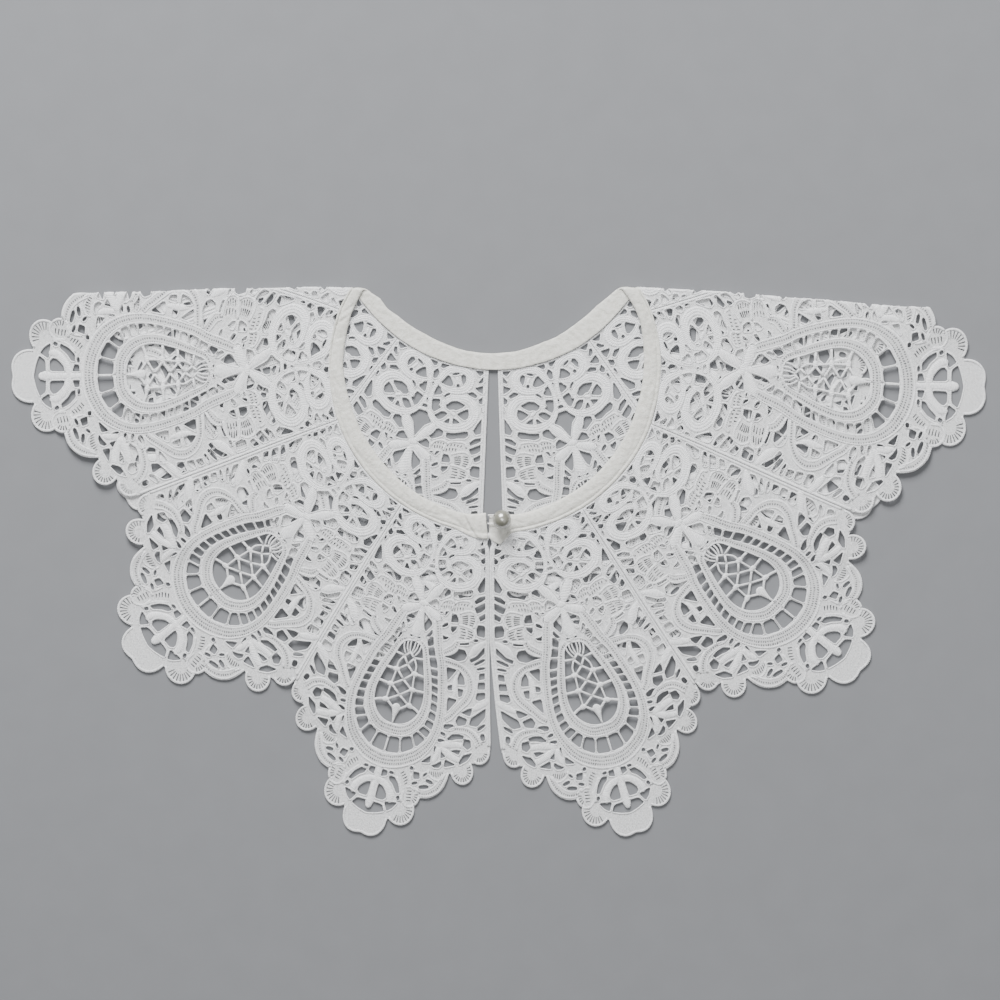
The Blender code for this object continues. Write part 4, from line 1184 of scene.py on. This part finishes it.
def ribbon_material():
    """Ivory satin ribbon with a fine weave and small crinkles."""
    paint = Paint("binding_satin", (0.66, 0.655, 0.60), 0.38, 0.3)
    along, across = paint.thread()
    weave = paint.times(paint.stripes(along, 0.5), paint.stripes(across, 0.42))
    crinkled = paint.noise(420.0)
    paint.color(crinkled, (0.3, (0.60, 0.595, 0.54)), (0.7, (0.74, 0.735, 0.685)))
    paint.bump(paint.plus(paint.times(weave, 0.12), crinkled), 0.5)
    return paint.material


def pearl_material():
    """Nacre with a grey-green overtone, paler towards its rim."""
    paint = Paint("pearl_nacre", (0.17, 0.167, 0.13), 0.32, 0.8)
    paint.hold({"Sheen Roughness": 0.22, "IOR": 1.7, "Specular IOR Level": 1.0,
                "Coat Weight": 1.0, "Coat IOR": 1.9, "Coat Roughness": 0.22})
    cloudy = paint.noise(320.0)
    paint.color(cloudy, (0.3, (0.14, 0.137, 0.10)), (0.7, (0.21, 0.207, 0.165)))
    paint.bump(cloudy, 0.02)
    return paint.material


def thread_material():
    """White sewing thread of two plies."""
    paint = Paint("loop_thread", (0.93, 0.93, 0.92), 0.5, 0.2)
    uneven = paint.noise(2500.0)
    paint.color(uneven, (0.3, (0.88, 0.88, 0.87)), (0.7, (0.96, 0.96, 0.95)))
    paint.bump(uneven, 0.04)
    return paint.material


def floor_material():
    """Plain pale paper."""
    paint = Paint("floor_paper", FLOOR_COLOR, 0.9)
    pale = tuple(1.04 * part for part in FLOOR_COLOR)
    paint.color(paint.noise(60.0), (0.3, FLOOR_COLOR), (0.7, pale))
    return paint.material


# ---- binding, pearl and loop ----

def turned_from(length, across, angle, middle, turn):
    """Distances along and across a line that is turned about a place on the binding."""
    along, aside = length - math.radians(angle) * NECK_RADIUS, across - middle
    turn = math.radians(turn)
    return (along * math.cos(turn) - aside * math.sin(turn),
            along * math.sin(turn) + aside * math.cos(turn))


def crease_depth(length, across):
    """How deep the creases are at places along and across the binding, in millimetres."""
    depth = np.zeros(length.shape)
    for row in CREASES:
        forward, sideways = turned_from(length, across, row.angle, row.across * BINDING_FRONT,
                                        row.turn)
        depth += row.depth * np.exp(-(forward / row.length) ** 2 - (sideways / row.width) ** 2)
    return depth


def tuck_height(length, across):
    """How far the loop's end of the binding is raised beyond its slanting fold."""
    _, beyond = turned_from(length, across, TUCK_ANGLE, BINDING_FRONT / 2, TUCK_TURN)
    return TUCK_RISE * smooth_step(beyond * TUCK_SLOPE) * smooth_step(2.0 - beyond / TUCK_REACH)


def wander(length, phase):
    """A slow uneven wave between -1 and 1."""
    return (0.45 * np.sin(length * 0.16 + phase) + 0.35 * np.sin(length * 0.41 + 2.3 * phase)
            + 0.2 * np.sin(length * 0.93 + 3.0 * np.sin(length * 0.11 + phase)))


def add_binding(material):
    """The satin strip round the neck, with its creases, its spread ends and the tuck in one."""
    loop_side, button_side = HALVES
    start, end = button_side.bars[0].neck, 360.0 - loop_side.bars[0].neck
    steps = round(math.radians(end - start) * NECK_RADIUS / BINDING_STEP)
    angle = np.linspace(start, end, steps + 1)
    edge = seam_radius(angle)
    length = np.radians(angle) * edge
    share = np.array([row.across for row in BINDING_SECTION])[None, :]
    rise = np.array([row.rise for row in BINDING_SECTION])[None, :]
    flares = [row.angle for row in FLARES]
    outward = (BINDING_LAP + np.interp(angle, flares, [row.lace_side for row in FLARES])
               + BINDING_WANDER * (0.6 + wander(length, LACE_EDGE_PHASE)))
    back = (NECK_RADIUS - edge) / (NECK_RADIUS - BACK_NECK_RADIUS)
    inward = (BINDING_FRONT + (BINDING_BACK - BINDING_FRONT) * back
              + np.interp(angle, flares, [row.neck_side for row in FLARES])
              + BINDING_WANDER * wander(length, NECK_EDGE_PHASE))
    across = (inward + outward)[:, None] * share
    radius = (edge + outward)[:, None] - across
    length = np.broadcast_to(length[:, None], radius.shape)
    lifted = smooth_step((radius - edge[:, None] - BINDING_LAP) / FLAP_STEP)
    thickness = rise * (1.0 - (1.0 - FLAP_THICKNESS) * lifted)
    top = rise > 0.5 * BINDING_THICKNESS
    rounded_top = np.sin(np.pi * share) ** 0.5
    puckered = BINDING_PUCKER * (0.5 + 0.5 * wander(length, PUCKER_PHASE))
    pressed = np.minimum((crease_depth(length, across) + puckered) * rounded_top,
                         DEEPEST_CREASE * thickness)
    height = FLAP_RISE * lifted + thickness + top * (tuck_height(length, across) - pressed)
    turn = np.radians(angle)[:, None]
    for side, from_end in ((1, turn - turn[0]), (-1, turn[-1] - turn)):
        lace_side, neck_side = END_SHORT[side]
        fray = END_FRAY * np.sin(share * FRAY_WAVES)
        short = lace_side + (neck_side - lace_side) * share + fray
        turn = turn + side * short / NECK_RADIUS * np.exp(-from_end * NECK_RADIUS / END_FADE)
    points = np.stack((np.sin(turn) * radius, -np.cos(turn) * radius, height), axis=2)
    stitch = np.stack((length, across), axis=2)
    *sides, first, last = tube_faces(*radius.shape)
    faces = [[face[0], *face[:0:-1]] for face in sides] + [first[::-1], last[::-1]]
    mesh = make_mesh("satin_binding", points.reshape(-1, 3), stitch.reshape(-1, 2), faces)
    lay_down(mesh, BINDING_THICKNESS)
    piece = add_piece(mesh, [material], "neck_binding")


def add_small_piece(name, points, faces, material, node):
    """A piece that isn't cloth, whose points are in millimetres from the neck centre."""
    points = (points - (BOX_CENTRE_X, BOX_CENTRE_Y, 0.0)) * MM
    add_piece(make_mesh(name, points, points[:, :2], faces), [material], node)


def add_pearl(material):
    """A pearl on a short shank: a profile spun round an upright line."""
    foot = LACE_THICKNESS + 2 * SEAM_GAP + BINDING_THICKNESS
    meeting = math.asin(SHANK_RADIUS / PEARL_RADIUS)
    centre = foot + SHANK_HEIGHT + PEARL_RADIUS * math.cos(meeting)
    turns = np.linspace(meeting, math.pi - PEARL_TOP, PEARL_RINGS)
    radius = np.append(SHANK_RADIUS, PEARL_RADIUS * np.sin(turns))[:, None]
    height = np.append(foot, centre - PEARL_RADIUS * np.cos(turns))[:, None]
    around = 2 * np.pi * np.arange(PEARL_SEGMENTS) / PEARL_SEGMENTS
    x, y = PEARL_X + radius * np.cos(around), PEARL_Y + radius * np.sin(around)
    points = np.stack((x, y, np.broadcast_to(height, x.shape)), axis=2).reshape(-1, 3)
    add_small_piece("pearl", points, tube_faces(*x.shape), material, "pearl_button")


def add_loop(material):
    """Two plies of thread twisted together, from the binding's other end round the shank."""
    height = LACE_THICKNESS + 2 * SEAM_GAP + BINDING_THICKNESS + LOOP_RADIUS
    reach = SHANK_RADIUS + SEAM_GAP + LOOP_RADIUS
    straight = np.arange(LOOP_START_X, PEARL_X, LOOP_STEP)
    bend = np.linspace(-np.pi / 2, np.pi / 2, LOOP_BEND_POINTS)
    route = np.vstack((
        np.column_stack((straight, np.full(len(straight), PEARL_Y - reach))),
        np.column_stack((PEARL_X + reach * np.cos(bend), PEARL_Y + reach * np.sin(bend))),
        np.column_stack((straight, np.full(len(straight), PEARL_Y + reach)))[::-1]))
    line, _ = curve_through(route[::2], LOOP_STEP)
    normal = normals_of(line)
    length = np.arange(len(line)) * LOOP_STEP
    ring = 2 * np.pi * np.arange(PLY_SIDES) / PLY_SIDES
    points, faces = [], []
    for ply in (0, 1):
        turn = 2 * np.pi * length[:, None] / LOOP_TWIST + ply * np.pi
        out, up = (part(turn) * LOOP_RADIUS * 0.5 + part(ring) * LOOP_RADIUS * 0.5
                   for part in (np.cos, np.sin))
        spots = line[:, None] + normal[:, None] * out[:, :, None]
        faces += tube_faces(len(line), PLY_SIDES, first=len(points) * len(line) * PLY_SIDES)
        points.append(np.concatenate((spots, height + up[:, :, None]), axis=2).reshape(-1, 3))
    add_small_piece("thread_loop", np.vstack(points), faces, material, "button_loop")


# ---- table, light and camera ----

def add_floor(material):
    """The table top."""
    mesh = bpy.data.meshes.new("table")
    half = FLOOR_SIZE / 2
    mesh.from_pydata([(-half, -half, 0.0), (half, -half, 0.0), (half, half, 0.0),
                      (-half, half, 0.0)], [], [(0, 1, 2, 3)])
    mesh.materials.append(material)
    floor = bpy.data.objects.new("table", mesh)
    floor.location.z = FLOOR_HEIGHT
    bpy.context.scene.collection.objects.link(floor)


def add_light(name, place, size, power):
    """A soft square light that faces the collar."""
    light = bpy.data.lights.new(name, "AREA")
    light.size = size
    light.energy = power
    item = bpy.data.objects.new(name, light)
    item.location = place
    item.rotation_euler = (Vector(LOOK_AT) - Vector(place)).to_track_quat("-Z", "Y").to_euler()
    bpy.context.scene.collection.objects.link(item)


def add_world():
    """Even light from all round."""
    world = bpy.data.worlds.new("studio")
    world.use_nodes = True
    back = world.node_tree.nodes["Background"]
    back.inputs["Color"].default_value = (1.0, 1.0, 1.0, 1.0)
    back.inputs["Strength"].default_value = WORLD_STRENGTH
    bpy.context.scene.world = world


def add_camera():
    """Straight down, over the middle of the picture."""
    lens = bpy.data.cameras.new("camera")
    lens.sensor_width = SENSOR
    lens.lens = SENSOR * CAMERA_HEIGHT / VIEW_WIDTH
    lens.clip_end = 10.0
    camera = bpy.data.objects.new("camera", lens)
    camera.location = (LOOK_AT[0], LOOK_AT[1], CAMERA_HEIGHT)
    bpy.context.scene.collection.objects.link(camera)
    bpy.context.scene.camera = camera


# ---- everything ----

lace = [cord_material(), fill_material(), satin_stitch_material(), ground_material()]
for half in HALVES:
    for petal in range(PETALS):
        add_petal(half, petal, lace)
add_binding(ribbon_material())
add_pearl(pearl_material())
add_loop(thread_material())
add_floor(floor_material())
for row in LIGHTS:
    add_light(*row)
add_world()
add_camera()
